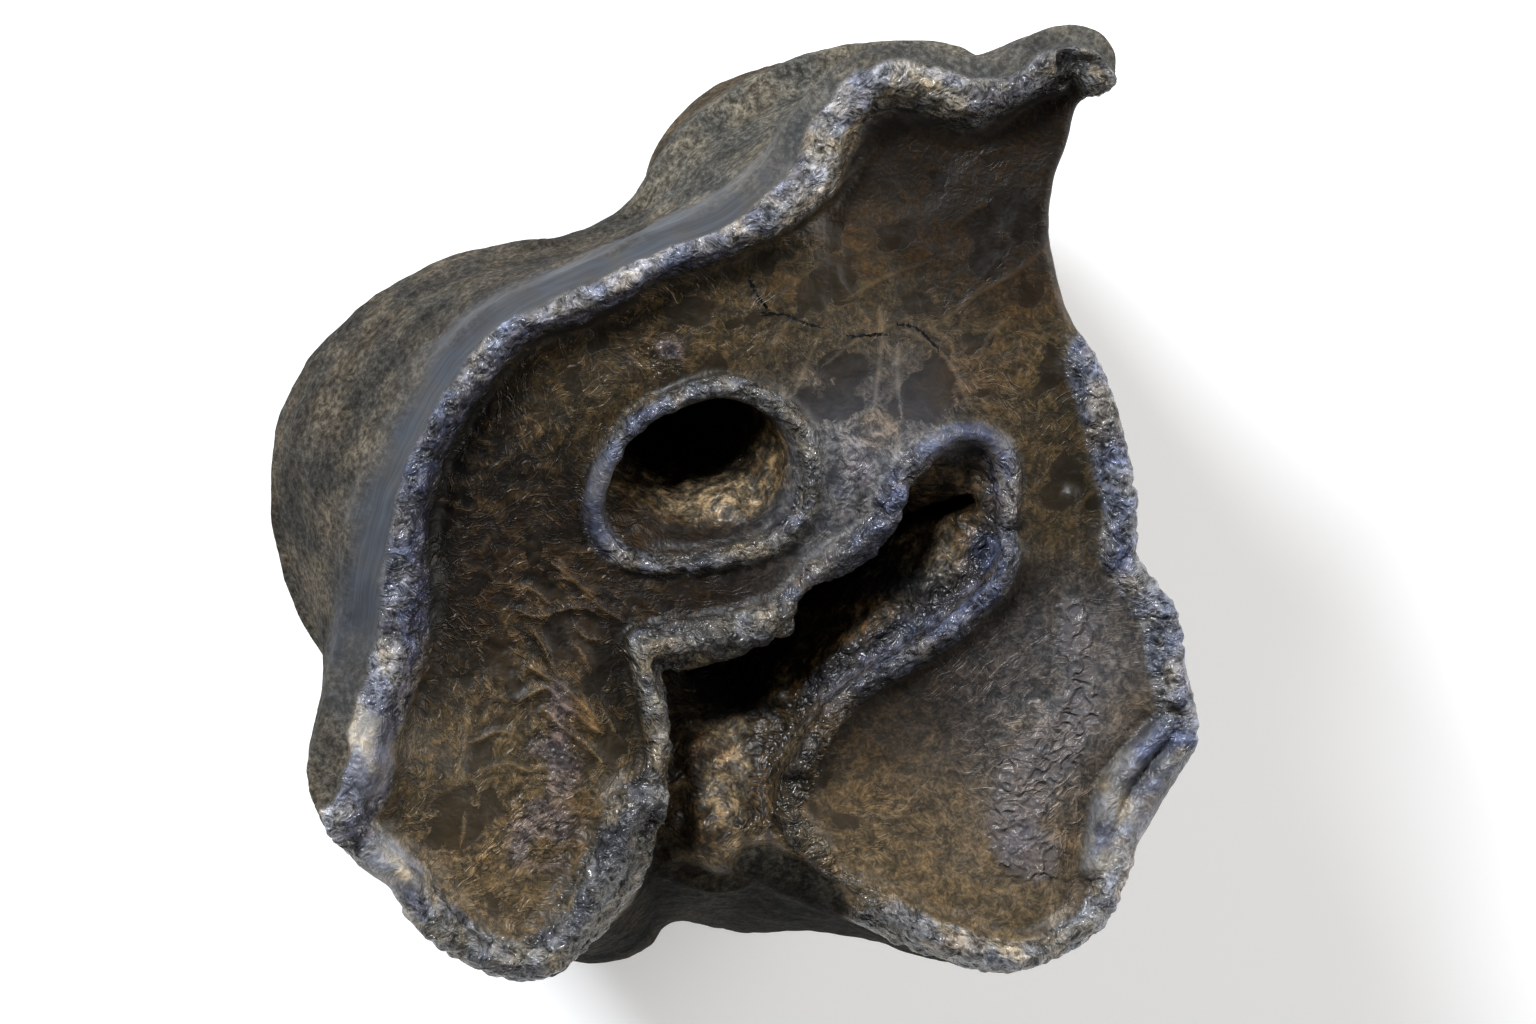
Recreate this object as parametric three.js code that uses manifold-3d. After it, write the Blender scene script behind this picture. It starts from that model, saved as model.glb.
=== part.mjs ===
// Upper cheek tooth of a woolly rhinoceros (Coelodonta antiquitatis), worn, life size.
// Millimetres. +Z is up: the tooth stands on its four broken root stumps with the chewing face on top.
// In plan the cheek wall (ectoloph) faces -X/+Y, its front tip (parastyle) points to +X/+Y and the tongue side faces -Y.
import * as THREE from "three";
import Module from "manifold-3d";

// ---- driving sizes (mm) ------------------------------------------------------------------------
const FACE_Z = 50; // nominal level of the chewing face
const BULGE_Z = 22; // level at which the crown is widest
const NECK_CUT_Z = 10.5; // crown above, root stumps below
const GAP = 0.3; // thin parting between named parts
const CELL = 0.62; // sampling step of the solid
const TRIANGLES = 8600; // before the thin cuts
const WALL_INSET_AT_NECK = 2.6; // the crown tucks in by this towards its neck
const RIM_ROUNDING = 0.8;
const PIT_LEAN = [-0.1, 0.11]; // sideways drift of the pit per mm of depth
const PIT_TAPER = 0.08; // narrowing of the pit per mm of depth
const SLIT_HALF_WIDTH = 0.8;
const SLIT_FLOOR_Z = 34;
const CROWN_BELOW_Z = 12; // underside of the crown between the roots

// ---- outline of the chewing face, run by run, rear corner -> front tip -> tongue side -> rear ----
const RIM = {
  cheek: [[-26.1, -14.4], [-25.6, -11.9], [-24.8, -9.6], [-23.7, -6.4], [-23.2, -3], [-22.3, 0.8], [-20.7, 4.7], [-18.3, 8.8], [-15.2, 11.8], [-10.8, 13.9], [-6.5, 16], [-2.4, 17.6], [0, 19.6], [1.4, 22], [3.4, 24.7], [6.2, 26.2], [9.4, 26.2], [12.8, 25.3], [14.6, 26.5], [17, 27.4], [19.1, 26.9], [20.2, 25.4]],
  front: [[19.4, 23.8], [18.1, 22.5], [17.4, 20.2], [16.6, 18], [16.4, 15.4], [16.9, 12.9], [17.7, 10.5], [19.5, 7.6], [20.4, 5], [20.9, 2.4], [21.6, -0.6], [21.5, -2.9], [22.7, -4.6], [23.7, -6], [24.2, -9], [25, -12.2]],
  protocone: [[24.6, -14.9], [23.2, -17.1], [21.6, -19.7], [20.7, -22], [19.3, -24.6], [17, -26], [14.4, -26.9], [11.4, -26.3], [8.4, -25.1], [6.2, -23.8]],
  valleyLip: [[4.2, -22.7], [1.9, -21.3], [0.1, -20.5], [-1.8, -21.1], [-3.4, -20.1], [-5, -19.2]],
  hypocone: [[-6.4, -17.7], [-7.6, -20.2], [-9.2, -23.2], [-10.9, -25.7], [-13, -26.9], [-15.4, -26.7], [-18, -25.4], [-20.1, -23.5], [-21.3, -21.5], [-23.4, -19.7], [-25.1, -17.3]],
};
// outline of the crown at its widest level
const BULGE = {
  cheek: [[-22.1, -13.1], [-23.9, -8.2], [-25.4, -2.8], [-25.5, 1], [-23.9, 4.8], [-20.4, 8.6], [-16.2, 11.1], [-11.5, 12.1], [-7.9, 12.7], [-4, 14.6], [-1, 17.9], [3.6, 20.3], [7.9, 22.3], [11.8, 23.4], [15.2, 23.2]],
  front: [[16.4, 21.2], [15.6, 17], [15.6, 12], [17, 6.5], [18.4, 0.5], [19.8, -6], [21.3, -12], [21.8, -18.5]],
  tongue: [[20.5, -24.5], [17, -28.5], [12.5, -29.6], [8.7, -28.6], [5.4, -28.1], [1.2, -28.4], [-2.7, -27.8], [-3.7, -29], [-5.6, -29.9], [-8.5, -29.8]],
  rear: [[-13, -27], [-17.5, -22.5], [-21, -17.5]],
};
// closed pit (medifossette) and open valley, outlines at the face
const PIT = [[-8.8, 0.1], [-8.3, -1.6], [-6, -2.2], [-2.6, -1.8], [0, -1.1], [1.7, 0.9], [1.7, 3.5], [0.3, 5.3], [-2.2, 6.2], [-5.2, 5.4], [-7.6, 3.4]];
const VALLEY = [[-5.5, -9.4], [-4.4, -9.4], [-2.4, -8.9], [-0.2, -7.8], [1.5, -7.1], [1.9, -5.6], [3, -4.4], [4.4, -4.1], [6.2, -2.9], [7.5, -1.4], [8.2, 0.9], [9.3, 2.2], [11, 3.2], [12.6, 3], [13.3, 1.8], [13.4, -0.4], [13.5, -2.6], [12.9, -4.2], [11.4, -5.9], [9.7, -7.2], [7.6, -8.6], [5.6, -9.8], [4, -11.2], [2.8, -12.7], [2, -14.4], [1.4, -16.6], [1.7, -18.6], [3.2, -20.6], [3.5, -26], [-5.6, -26], [-6, -19.4], [-5.6, -17.4], [-5.3, -14.8], [-5.2, -12.6]];
const SLIT = [[12, -0.3], [10.6, -0.7], [9.2, -1.5], [7.8, -2.6], [6, -4.3], [4.3, -5.9], [2.4, -7.9], [-0.4, -9.9], [-3, -11.1]];

// ---- heights ------------------------------------------------------------------------------------
// worn dentine between the enamel ridges: [x, y, z]
const DENTINE = [
  [-16.5, -3, 46.9], [-14, -10, 46.6], [-14.5, -17, 46.8], [-12.5, -21.5, 47], [-16.5, 4, 47.3], [-20.6, -16.6, 48.9], [-17.5, -20, 47.8],
  [-17.6, -9, 46.6], [-9.5, -14, 47.4], [-5, 10, 48.5], [-10.6, 7.6, 47.9], [-12, 2.6, 47.5], [-11.2, -3.4, 46.9], [-7.5, -5, 47],
  [-3, -4.8, 47.7], [2, -3, 48.2], [5, 1.5, 49.1], [0, 11, 48.9], [5, 6, 48.8], [9, 8, 48.6], [9, 14, 48.2],
  [9, 19.5, 47.4], [13.5, 20.5, 47.7], [14, 10, 48.4], [15, 5, 48.3], [15.5, 16, 48.3], [17.2, 24.4, 48.4], [16, -3, 48],
  [14, -9, 47.2], [9, -14, 46.5], [6, -18, 46.8], [11.5, -18, 46.7], [15, -12.5, 47.2], [17.6, -13.4, 48.3], [15.4, -20.6, 47.9],
  [20, -7, 48.2], [20.5, -11.5, 48.8], [22.6, -15.8, 47.4], [21, -18.8, 47.4], [-9, -10, 47], [18, -18.5, 48.4],
];
const DENTINE_REACH = 2.9;
// floor of the open valley, from its head to its mouth
const VALLEY_FLOOR = [
  [9.7, 1.4, 47.9], [11.2, 2.2, 47.9], [12.5, 1.8, 47.8], [12.9, 0.2, 47.6], [8.6, 0.3, 47.4], [12.9, -1.6, 47.4], [11.6, -0.2, 45],
  [10.4, -0.7, 43], [9, -1.5, 41], [7.8, -2.6, 40], [11.8, -1.9, 46.9], [10.6, -2.5, 46.6], [9.6, -3.3, 45.6], [12, -4, 46.7],
  [10.4, -5.2, 45.9], [8.8, -5.2, 44.3], [8.2, -6.6, 45.2], [6.8, -7, 44.4], [6.2, -5.6, 41.5], [6, -4.2, 39.5], [4.6, -5.6, 38],
  [2.8, -7.4, 37.5], [1, -8.8, 37], [-0.8, -10.2, 37], [-2.6, -11.2, 37], [-4, -11, 38.4], [6.4, -8.4, 45.2], [4.8, -9.2, 44],
  [3.2, -10.2, 43.4], [1.8, -11.2, 42.6], [4, -11, 45.4], [2.6, -12.4, 44.4], [0.8, -12.8, 43.4], [-0.9, -13.4, 42.6], [-3.6, -13.8, 42.6],
  [-4.6, -13, 42.6], [-2.4, -15, 44.2], [-4.6, -16, 44], [-0.4, -15.2, 44.2], [1.4, -15.4, 45.4], [-1.8, -17.2, 44.8], [-1.9, -18.6, 46.4],
  [-4.4, -18.2, 44.6], [0.4, -17.8, 45.2], [1.3, -19.6, 46], [0, -25, 45], [-4, -24, 44],
];
// floor of the closed pit
const PIT_FLOOR = [
  [-7.6, -1.2, 47.9], [-5.2, -1.4, 47.2], [-2.6, -1.2, 46.9], [-0.2, -0.2, 46.9], [1.2, 1.4, 46.6], [1.2, 3.4, 45.6], [-8.3, 0.8, 46.4],
  [-6, 0.2, 45.4], [-3.2, 0.4, 44.6], [-0.6, 1.6, 44.8], [0, 3.6, 43.5], [-7, 2, 42], [-4.6, 1.9, 39], [-2, 3, 37],
  [-4, 3.8, 36], [-1.6, 4.9, 39], [-5.6, 3.4, 38],
];
const FLOOR_REACH = 1.2;
// enamel ridges standing above the dentine: line, height, half width
const RIDGES = [
  { line: [[6.6, 0.5], [7.9, 2.1], [9.5, 3.5], [11, 4.1], [12.6, 3.9], [13.7, 2.8], [14, 1.2], [13.8, -0.8]], height: 0.7, half: 0.6 }, // crochet loop
  { line: [[13.6, -3], [13.3, -4.2], [12, -5.8], [10.2, -7.3], [8, -8.8], [6, -10], [4.2, -11.6], [3, -13.2], [2.2, -14.8]], height: 1.5, half: 0.95 }, // protoloph's wall of the valley
  { line: [[-6.9, -8], [-6.7, -9.6], [-6.2, -11.4], [-6, -13], [-6.1, -14.8], [-6.9, -16.2], [-8, -18.4], [-9, -20.8]], height: 1.5, half: 0.62 }, // hypocone's wall of the valley
  { line: [[-6.6, -7.7], [-4.4, -7.5], [-2, -6.9], [0, -6]], height: 1.3, half: 1.1 }, // metaloph's wall of the valley
  { line: [[0, -6], [1.3, -5], [3, -3.6], [5, -2.3], [6.6, -0.8], [7.6, 0.9]], height: 0.9, half: 0.7 }, // the same, lower, towards the crochet
  { line: [[17.6, 0.4], [17.8, -4], [17.9, -7.6], [17.4, -10.6], [15.9, -13.6], [14.8, -17]], height: 0.35, half: 0.5 }, // low bead beside the protocone
  { line: [[23.4, -12.6], [21.6, -14.4], [20.2, -16.4], [19.5, -18.6], [19.2, -20.8]], height: 1.6, half: 0.9 }, // front fold of the protocone
  { line: [[23.5, -12.2], [21.8, -12.9], [20.3, -14.2], [19, -15.8], [18.4, -17.6], [17.9, -19.6], [17.4, -21.6]], height: -0.5, half: 0.42 }, // groove behind that fold
  { line: [[-10.3, -0.4], [-9.7, -2.8], [-7.6, -4.3], [-4.4, -4.1], [-1.6, -3.7]], height: -0.5, half: 0.6 }, // groove round the pit's ring
  { line: [[11.4, 22.6], [13.4, 23], [15, 23.6], [16.6, 24]], height: 1.3, half: 0.55 }, // lower crest at the front tip
  { line: [[16.6, 25.3], [18.2, 25.1]], height: -1.3, half: 0.5 }, // cleft in the front tip
];
const RIM_BANDS = { // enamel rims: height, and the share of it at each distance inwards from the outline
  cheek: { height: 3.1, profile: [[-1.5, 0], [-0.4, 0.25], [0.3, 0.6], [1, 0.86], [1.7, 1], [2.2, 0.93], [2.7, 0.6], [3.2, 0.22], [3.8, 0.04], [6, 0], [9, 0]] },
  protocone: { height: 1.9, profile: [[-1.5, 0], [-0.3, 0.35], [0.4, 0.72], [1.2, 1], [1.8, 0.85], [2.4, 0.42], [3.1, 0.1], [4.2, 0], [7, 0]] },
  hypocone: { height: 1.9, profile: [[-1.5, 0], [-0.3, 0.35], [0.4, 0.72], [1.2, 1], [1.8, 0.85], [2.4, 0.42], [3.1, 0.1], [4.2, 0], [7, 0]] },
  front: { height: 1.2, profile: [[-1.5, 0], [-0.3, 0.45], [0.4, 0.85], [0.9, 1], [1.5, 0.8], [2.2, 0.35], [3, 0.08], [4, 0], [6, 0]] },
};
const REAR_SPREAD = 1.55; // the cheek rim is this much wider behind
const FRONT_ENAMEL_FROM_Y = 8; // the front margin has enamel only behind this, in front of it is the contact facet
const PIT_RING = { height: 1, inset: 0.75, half: 0.6 };

// broken root stumps: centre, radii and turn at the neck, drift and share at the base
const ROOTS = {
  root_outer_rear: { at: [-17, -2], r: [8.6, 6.2], turn: 62, drift: [0.5, 0.5], share: 0.8 },
  root_outer_front: { at: [5.5, 16], r: [8.8, 5.8], turn: 32, drift: [0, -0.3], share: 0.8 },
  root_inner_front: { at: [12.8, -18.8], r: [7.4, 8.2], turn: 10, drift: [-0.4, 0.6], share: 0.78 },
  root_inner_rear: { at: [-8.6, -22], r: [7.2, 5.6], turn: 20, drift: [0.3, 0.6], share: 0.8 },
};

// ---- plane geometry -----------------------------------------------------------------------------
const smooth = (points, closed, step = 0.6) => {
  const curve = new THREE.CatmullRomCurve3(points.map(([x, y]) => new THREE.Vector3(x, y, 0)), closed, "centripetal");
  return curve.getPoints(Math.ceil(curve.getLength() / step)).map((p) => [p.x, p.y]);
};
// distance from a point to a polyline
function away(line, x, y) {
  let best = 1e9;
  for (let i = 1; i < line.length; i++) {
    const [ax, ay] = line[i - 1], bx = line[i][0] - ax, by = line[i][1] - ay;
    const t = Math.min(1, Math.max(0, ((x - ax) * bx + (y - ay) * by) / (bx * bx + by * by)));
    const dx = x - ax - t * bx, dy = y - ay - t * by, d = dx * dx + dy * dy;
    if (d < best) best = d;
  }
  return Math.sqrt(best);
}
function within(loop, x, y) {
  let odd = false;
  for (let i = 0, j = loop.length - 1; i < loop.length; j = i++) {
    const [ax, ay] = loop[i], [bx, by] = loop[j];
    if (ay > y !== by > y && x < ((bx - ax) * (y - ay)) / (by - ay) + ax) odd = !odd;
  }
  return odd;
}
const signed = (loop, x, y) => away(loop, x, y) * (within(loop, x, y) ? -1 : 1);
const clamp = (v, a = 0, b = 1) => Math.min(b, Math.max(a, v));
const ease = (a, b, v) => { const t = clamp((v - a) / (b - a)); return t * t * (3 - 2 * t); };
const smax = (a, b, k) => { const h = Math.max(k - Math.abs(a - b), 0) / k; return Math.max(a, b) + (h * h * k) / 4; };
const smin = (a, b, k) => -smax(-a, -b, k);
const crest = (d, half) => Math.exp(-Math.pow(Math.abs(d) / half, 2.6));
// a value between the entries of a table of [place, value]
function read(table, at) {
  for (let i = 1; i < table.length; i++) {
    if (at < table[i][0]) { const [[a, u], [b, v]] = [table[i - 1], table[i]]; return u + (v - u) * clamp((at - a) / (b - a)); }
  }
  return table[table.length - 1][1];
}
// height at a point from nearby soundings
function sound(list, reach, x, y) {
  let sum = 0, weight = 0;
  for (const [sx, sy, sz] of list) {
    const d = (x - sx) ** 2 + (y - sy) ** 2, w = Math.exp(-d / (2 * reach * reach)) + 1e-4 / (1 + d);
    sum += w * sz;
    weight += w;
  }
  return sum / weight;
}

// ---- the fields in plan, sampled once -----------------------------------------------------------
const LOW = [-32, -36, -1.2], HIGH = [31, 34, 54.5];
const N = LOW.map((lo, i) => Math.ceil((HIGH[i] - lo) / CELL) + 1);
const PLAN_CELL = 0.31;
function plan(fn) {
  const nx = Math.ceil((HIGH[0] - LOW[0]) / PLAN_CELL) + 2, ny = Math.ceil((HIGH[1] - LOW[1]) / PLAN_CELL) + 2, data = new Float64Array(nx * ny);
  for (let j = 0; j < ny; j++) for (let i = 0; i < nx; i++) data[j * nx + i] = fn(LOW[0] + i * PLAN_CELL, LOW[1] + j * PLAN_CELL);
  return (x, y) => {
    const u = clamp((x - LOW[0]) / PLAN_CELL, 0, nx - 1.001), v = clamp((y - LOW[1]) / PLAN_CELL, 0, ny - 1.001);
    const i = Math.floor(u), j = Math.floor(v), a = u - i, b = v - j, k = j * nx + i;
    return (data[k] * (1 - a) + data[k + 1] * a) * (1 - b) + (data[k + nx] * (1 - a) + data[k + nx + 1] * a) * b;
  };
}
const rimLoop = smooth(Object.values(RIM).flat(), true), bulgeLoop = smooth(Object.values(BULGE).flat(), true);
const runs = Object.fromEntries(Object.entries(RIM).map(([name, pts]) => [name, smooth(pts, false)]));
const frontEnamel = runs.front.filter(([, y]) => y < FRONT_ENAMEL_FROM_Y);
const rimField = plan((x, y) => signed(rimLoop, x, y));
const bulgeField = plan((x, y) => signed(bulgeLoop, x, y));
const pitLoop = smooth(PIT, true), valleyLoop = smooth(VALLEY, true), slitLine = smooth(SLIT, false);
const pitField = plan((x, y) => signed(pitLoop, x, y));
const valleyField = plan((x, y) => signed(valleyLoop, x, y));
const slitField = plan((x, y) => away(slitLine, x, y));
const ridgeLines = RIDGES.map((r) => ({ ...r, line: smooth(r.line, false) }));
const faceField = plan((x, y) => {
  const side = rimField(x, y) < 0 ? 1 : -1, spread = 1 + (REAR_SPREAD - 1) * ease(3, -5, y);
  let rise = 0;
  for (const [name, { height, profile }] of Object.entries(RIM_BANDS)) {
    const near = away(name === "front" ? frontEnamel : runs[name], x, y); // only this run's own stretch of the outline
    rise = Math.max(rise, height * read(profile, (side * near) / (name === "cheek" ? spread : 1)));
  }
  rise = Math.max(rise, PIT_RING.height * crest(pitField(x, y) - PIT_RING.inset, PIT_RING.half));
  for (const { line, height, half } of ridgeLines) {
    const up = height * crest(away(line, x, y), half);
    rise = height < 0 ? rise + up : Math.max(rise, up);
  }
  return sound(DENTINE, DENTINE_REACH, x, y) + rise;
});
const floorField = plan((x, y) => sound(VALLEY_FLOOR, FLOOR_REACH, x, y));
const pitFloorField = plan((x, y) => sound(PIT_FLOOR, FLOOR_REACH, x, y));

// ---- the solid: negative inside -----------------------------------------------------------------
function stump({ at, r, turn, drift, share }, x, y, z) {
  const t = clamp(1 - z / 18, -0.2, 1), c = Math.cos((turn * Math.PI) / 180), s = Math.sin((turn * Math.PI) / 180);
  const dx = x - at[0] - drift[0] * t * 3, dy = y - at[1] - drift[1] * t * 3, k = 1 - (1 - share) * t;
  const u = (dx * c + dy * s) / (r[0] * k), v = (-dx * s + dy * c) / (r[1] * k), d = Math.hypot(u, v);
  return (d - 1) * Math.min(r[0], r[1]) * k;
}
function solid(x, y, z) {
  const g = ease(-0.35, 1, (FACE_Z - z) / (FACE_Z - BULGE_Z)) * 1.0;
  const g0 = ease(-0.35, 1, 0), share = clamp((g - g0) / (1 - g0));
  const tuck = WALL_INSET_AT_NECK * ease(BULGE_Z, 8, z);
  let f = rimField(x, y) * (1 - share) + bulgeField(x, y) * share + tuck;
  f = smax(f, z - faceField(x, y), RIM_ROUNDING);
  const deep = FACE_Z - z;
  const pit = smax(pitField(x - PIT_LEAN[0] * deep, y - PIT_LEAN[1] * deep) + PIT_TAPER * deep, pitFloorField(x, y) - z, 0.8);
  f = smax(f, -pit, 0.5);
  f = smax(f, -smax(valleyField(x, y), floorField(x, y) - z, 0.8), 0.5);
  f = smax(f, -smax(slitField(x, y) - SLIT_HALF_WIDTH + 0.03 * deep, SLIT_FLOOR_Z - z, 1.5), 0.4);
  f = smax(f, CROWN_BELOW_Z + 5 * clamp(-bulgeField(x, y) / 16) - z, 2.5);
  let roots = 1e9;
  for (const root of Object.values(ROOTS)) roots = Math.min(roots, stump(root, x, y, z));
  f = smin(f, Math.max(roots, z - 22), 3);
  return Math.max(f, -z);
}

// ---- surface of the solid: six tetrahedra to a cell, so the skin always closes -------------------
function surface() {
  const [nx, ny, nz] = N, at = (i, j, k) => (k * ny + j) * nx + i, value = new Float64Array(nx * ny * nz);
  const X = (i) => LOW[0] + i * CELL, Y = (j) => LOW[1] + j * CELL, Z = (k) => LOW[2] + k * CELL;
  for (let k = 0; k < nz; k++) for (let j = 0; j < ny; j++) for (let i = 0; i < nx; i++) value[at(i, j, k)] = solid(X(i), Y(j), Z(k));
  const paths = [[1, 2, 4, 1], [2, 4, 1, 1], [4, 1, 2, 1], [2, 1, 4, -1], [1, 4, 2, -1], [4, 2, 1, -1]]; // axis orders and their parity
  const offset = (bits) => (bits & 1) + ((bits >> 1) & 1) * nx + ((bits >> 2) & 1) * nx * ny;
  const known = new Map(), points = [], faces = [];
  const cut = (cell, lo, hi) => {
    if ((lo & hi) !== lo) [lo, hi] = [hi, lo];
    const a = cell + offset(lo), key = a * 8 + (hi ^ lo);
    let id = known.get(key);
    if (id === undefined) {
      const b = cell + offset(hi), t = clamp(value[a] / (value[a] - value[b]), 0.02, 0.98);
      const i = a % nx, j = Math.floor(a / nx) % ny, k = Math.floor(a / (nx * ny)), d = hi ^ lo;
      id = points.push([X(i) + t * CELL * (d & 1), Y(j) + t * CELL * ((d >> 1) & 1), Z(k) + t * CELL * ((d >> 2) & 1)]) - 1;
      known.set(key, id);
    }
    return id;
  };
  // for each set of inside corners of a right-handed tetrahedron, the cut edges in outward order
  const cases = { 1: [[0, 1], [0, 2], [0, 3]], 2: [[1, 0], [1, 3], [1, 2]], 4: [[2, 3], [2, 0], [2, 1]], 8: [[3, 2], [3, 1], [3, 0]], 3: [[0, 2], [0, 3], [1, 3], [1, 2]], 5: [[0, 3], [0, 1], [2, 1], [2, 3]], 9: [[0, 1], [0, 2], [3, 2], [3, 1]] };
  for (let k = 0; k < nz - 1; k++) for (let j = 0; j < ny - 1; j++) for (let i = 0; i < nx - 1; i++) {
    const cell = at(i, j, k);
    let some = false, all = true;
    for (let c = 0; c < 8; c++) value[cell + offset(c)] < 0 ? (some = true) : (all = false);
    if (!some || all) continue;
    for (const [a, b, , parity] of paths) {
      const corners = [0, a, a | b, 7];
      let mask = 0;
      corners.forEach((c, n) => { if (value[cell + offset(c)] < 0) mask |= 1 << n; });
      if (mask === 0 || mask === 15) continue;
      const turned = !(mask in cases), loop = (cases[turned ? 15 - mask : mask]).map(([p, q]) => cut(cell, corners[p], corners[q]));
      if (turned !== parity < 0) loop.reverse();
      for (let n = 2; n < loop.length; n++) faces.push([loop[0], loop[n - 1], loop[n]]);
    }
  }
  return { points, faces };
}

// ---- fewer triangles by collapsing the edges that matter least (quadric error) -------------------
function simplify({ points, faces }, goal) {
  const P = points.map((p) => p.slice()), F = faces.map((f) => f.slice()), fans = P.map(() => []), Q = P.map(() => new Float64Array(10)), stamp = new Int32Array(P.length);
  const sub = (a, b) => [a[0] - b[0], a[1] - b[1], a[2] - b[2]], dot = (a, b) => a[0] * b[0] + a[1] * b[1] + a[2] * b[2];
  const cross = (a, b) => [a[1] * b[2] - a[2] * b[1], a[2] * b[0] - a[0] * b[2], a[0] * b[1] - a[1] * b[0]];
  const normal = (a, b, c) => cross(sub(b, a), sub(c, a));
  F.forEach((f, n) => {
    f.forEach((v) => fans[v].push(n));
    const w = normal(P[f[0]], P[f[1]], P[f[2]]), size = Math.hypot(...w);
    if (size < 1e-12) return;
    const [a, b, c] = w.map((v) => v / size), d = -dot([a, b, c], P[f[0]]), q = [a * a, a * b, a * c, a * d, b * b, b * c, b * d, c * c, c * d, d * d];
    for (const v of f) q.forEach((e, m) => (Q[v][m] += e * size));
  });
  P.forEach((p, v) => { // a little pull to where the vertex was, which settles flat stretches
    const e = 2e-4;
    [e, 0, 0, -e * p[0], e, 0, -e * p[1], e, -e * p[2], e * dot(p, p)].forEach((x, m) => (Q[v][m] += x));
  });
  const error = (q, [x, y, z]) => q[0] * x * x + 2 * q[1] * x * y + 2 * q[2] * x * z + 2 * q[3] * x + q[4] * y * y + 2 * q[5] * y * z + 2 * q[6] * y + q[7] * z * z + 2 * q[8] * z + q[9];
  const heap = [];
  const push = (item) => { let i = heap.push(item) - 1; while (i > 0) { const up = (i - 1) >> 1; if (heap[up].cost <= item.cost) break; heap[i] = heap[up]; i = up; } heap[i] = item; };
  const pop = () => {
    const top = heap[0], last = heap.pop();
    if (heap.length) { let i = 0; for (;;) { let c = 2 * i + 1; if (c >= heap.length) break; if (c + 1 < heap.length && heap[c + 1].cost < heap[c].cost) c++; if (heap[c].cost >= last.cost) break; heap[i] = heap[c]; i = c; } heap[i] = last; }
    return top;
  };
  const propose = (a, b) => {
    const q = Q[a].map((x, m) => x + Q[b][m]), [A, B, C, D, E, G, H, I, J] = q;
    const det = A * (E * I - G * G) - B * (B * I - G * C) + C * (B * G - E * C), mid = P[a].map((x, m) => (x + P[b][m]) / 2);
    let spot = mid, cost = error(q, mid);
    if (Math.abs(det) > 1e-12) {
      const x = -(D * (E * I - G * G) - B * (H * I - G * J) + C * (H * G - E * J)) / det, y = -(A * (H * I - J * G) - D * (B * I - G * C) + C * (B * J - H * C)) / det, z = -(A * (E * J - G * H) - B * (B * J - H * C) + D * (B * G - E * C)) / det;
      const got = [x, y, z], far = Math.hypot(...sub(got, mid)), e = error(q, got);
      if (far < 2 * Math.hypot(...sub(P[a], P[b])) && e < cost) { spot = got; cost = e; }
    }
    push({ cost: Math.max(cost, 0), a, b, spot, sa: stamp[a], sb: stamp[b] });
  };
  const around = (v) => { const s = new Set(); for (const n of fans[v]) for (const w of F[n]) if (w !== v) s.add(w); return s; };
  for (let v = 0; v < P.length; v++) for (const w of around(v)) if (w > v) propose(v, w);
  let count = F.length, thin = 0.09, dull = 0.3;
  while (count > goal) {
    if (!heap.length) { // every edge again, with a little more leave each round
      thin *= 0.5;
      dull *= 0.7;
      if (thin < 2e-3) break;
      for (let v = 0; v < P.length; v++) if (stamp[v] >= 0) for (const w of around(v)) if (w > v) propose(v, w);
    }
    const { a, b, spot, sa, sb } = pop();
    if (sa !== stamp[a] || sb !== stamp[b]) continue;
    const na = around(a), nb = around(b);
    let shared = 0;
    for (const w of na) if (nb.has(w)) shared++;
    if (shared !== 2) continue;
    let bad = false;
    for (const v of [a, b]) for (const n of fans[v]) {
      if (bad || (F[n].includes(a) && F[n].includes(b))) continue;
      const was = F[n].map((w) => P[w]), now = F[n].map((w) => (w === v ? spot : P[w])), n0 = normal(...was), n1 = normal(...now), l0 = Math.hypot(...n0), l1 = Math.hypot(...n1);
      const longest = Math.max(Math.hypot(...sub(now[0], now[1])), Math.hypot(...sub(now[1], now[2])), Math.hypot(...sub(now[2], now[0])));
      if (l1 < thin * longest * longest || dot(n0, n1) < dull * l0 * l1) bad = true;
    }
    if (bad) continue;
    P[a] = spot;
    Q[b].forEach((x, m) => (Q[a][m] += x));
    for (const n of fans[b]) {
      if (F[n].includes(a)) { count -= 1; for (const w of F[n]) if (w !== b) fans[w] = fans[w].filter((m) => m !== n); F[n] = [-1, -1, -1]; }
      else { F[n] = F[n].map((w) => (w === b ? a : w)); fans[a].push(n); }
    }
    fans[b] = [];
    stamp[b] = -1;
    stamp[a] += 1;
    for (const w of around(a)) propose(a, w);
  }
  for (const p of P) if (Math.abs(p[2]) < 0.12) p[2] = 0; // the feet stay flat
  const ids = new Map(), verts = [], tris = [];
  for (const f of F) if (f[0] >= 0) for (const v of f) { if (!ids.has(v)) { ids.set(v, ids.size); verts.push(...P[v]); } tris.push(ids.get(v)); }
  return { verts, tris };
}

// ---- joining and cutting ------------------------------------------------------------------------
const wasm = await Module();
wasm.setup();
const toSolid = (verts, tris) => new wasm.Manifold(new wasm.Mesh({ numProp: 3, vertProperties: new Float32Array(verts), triVerts: new Uint32Array(tris) }));
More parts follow.
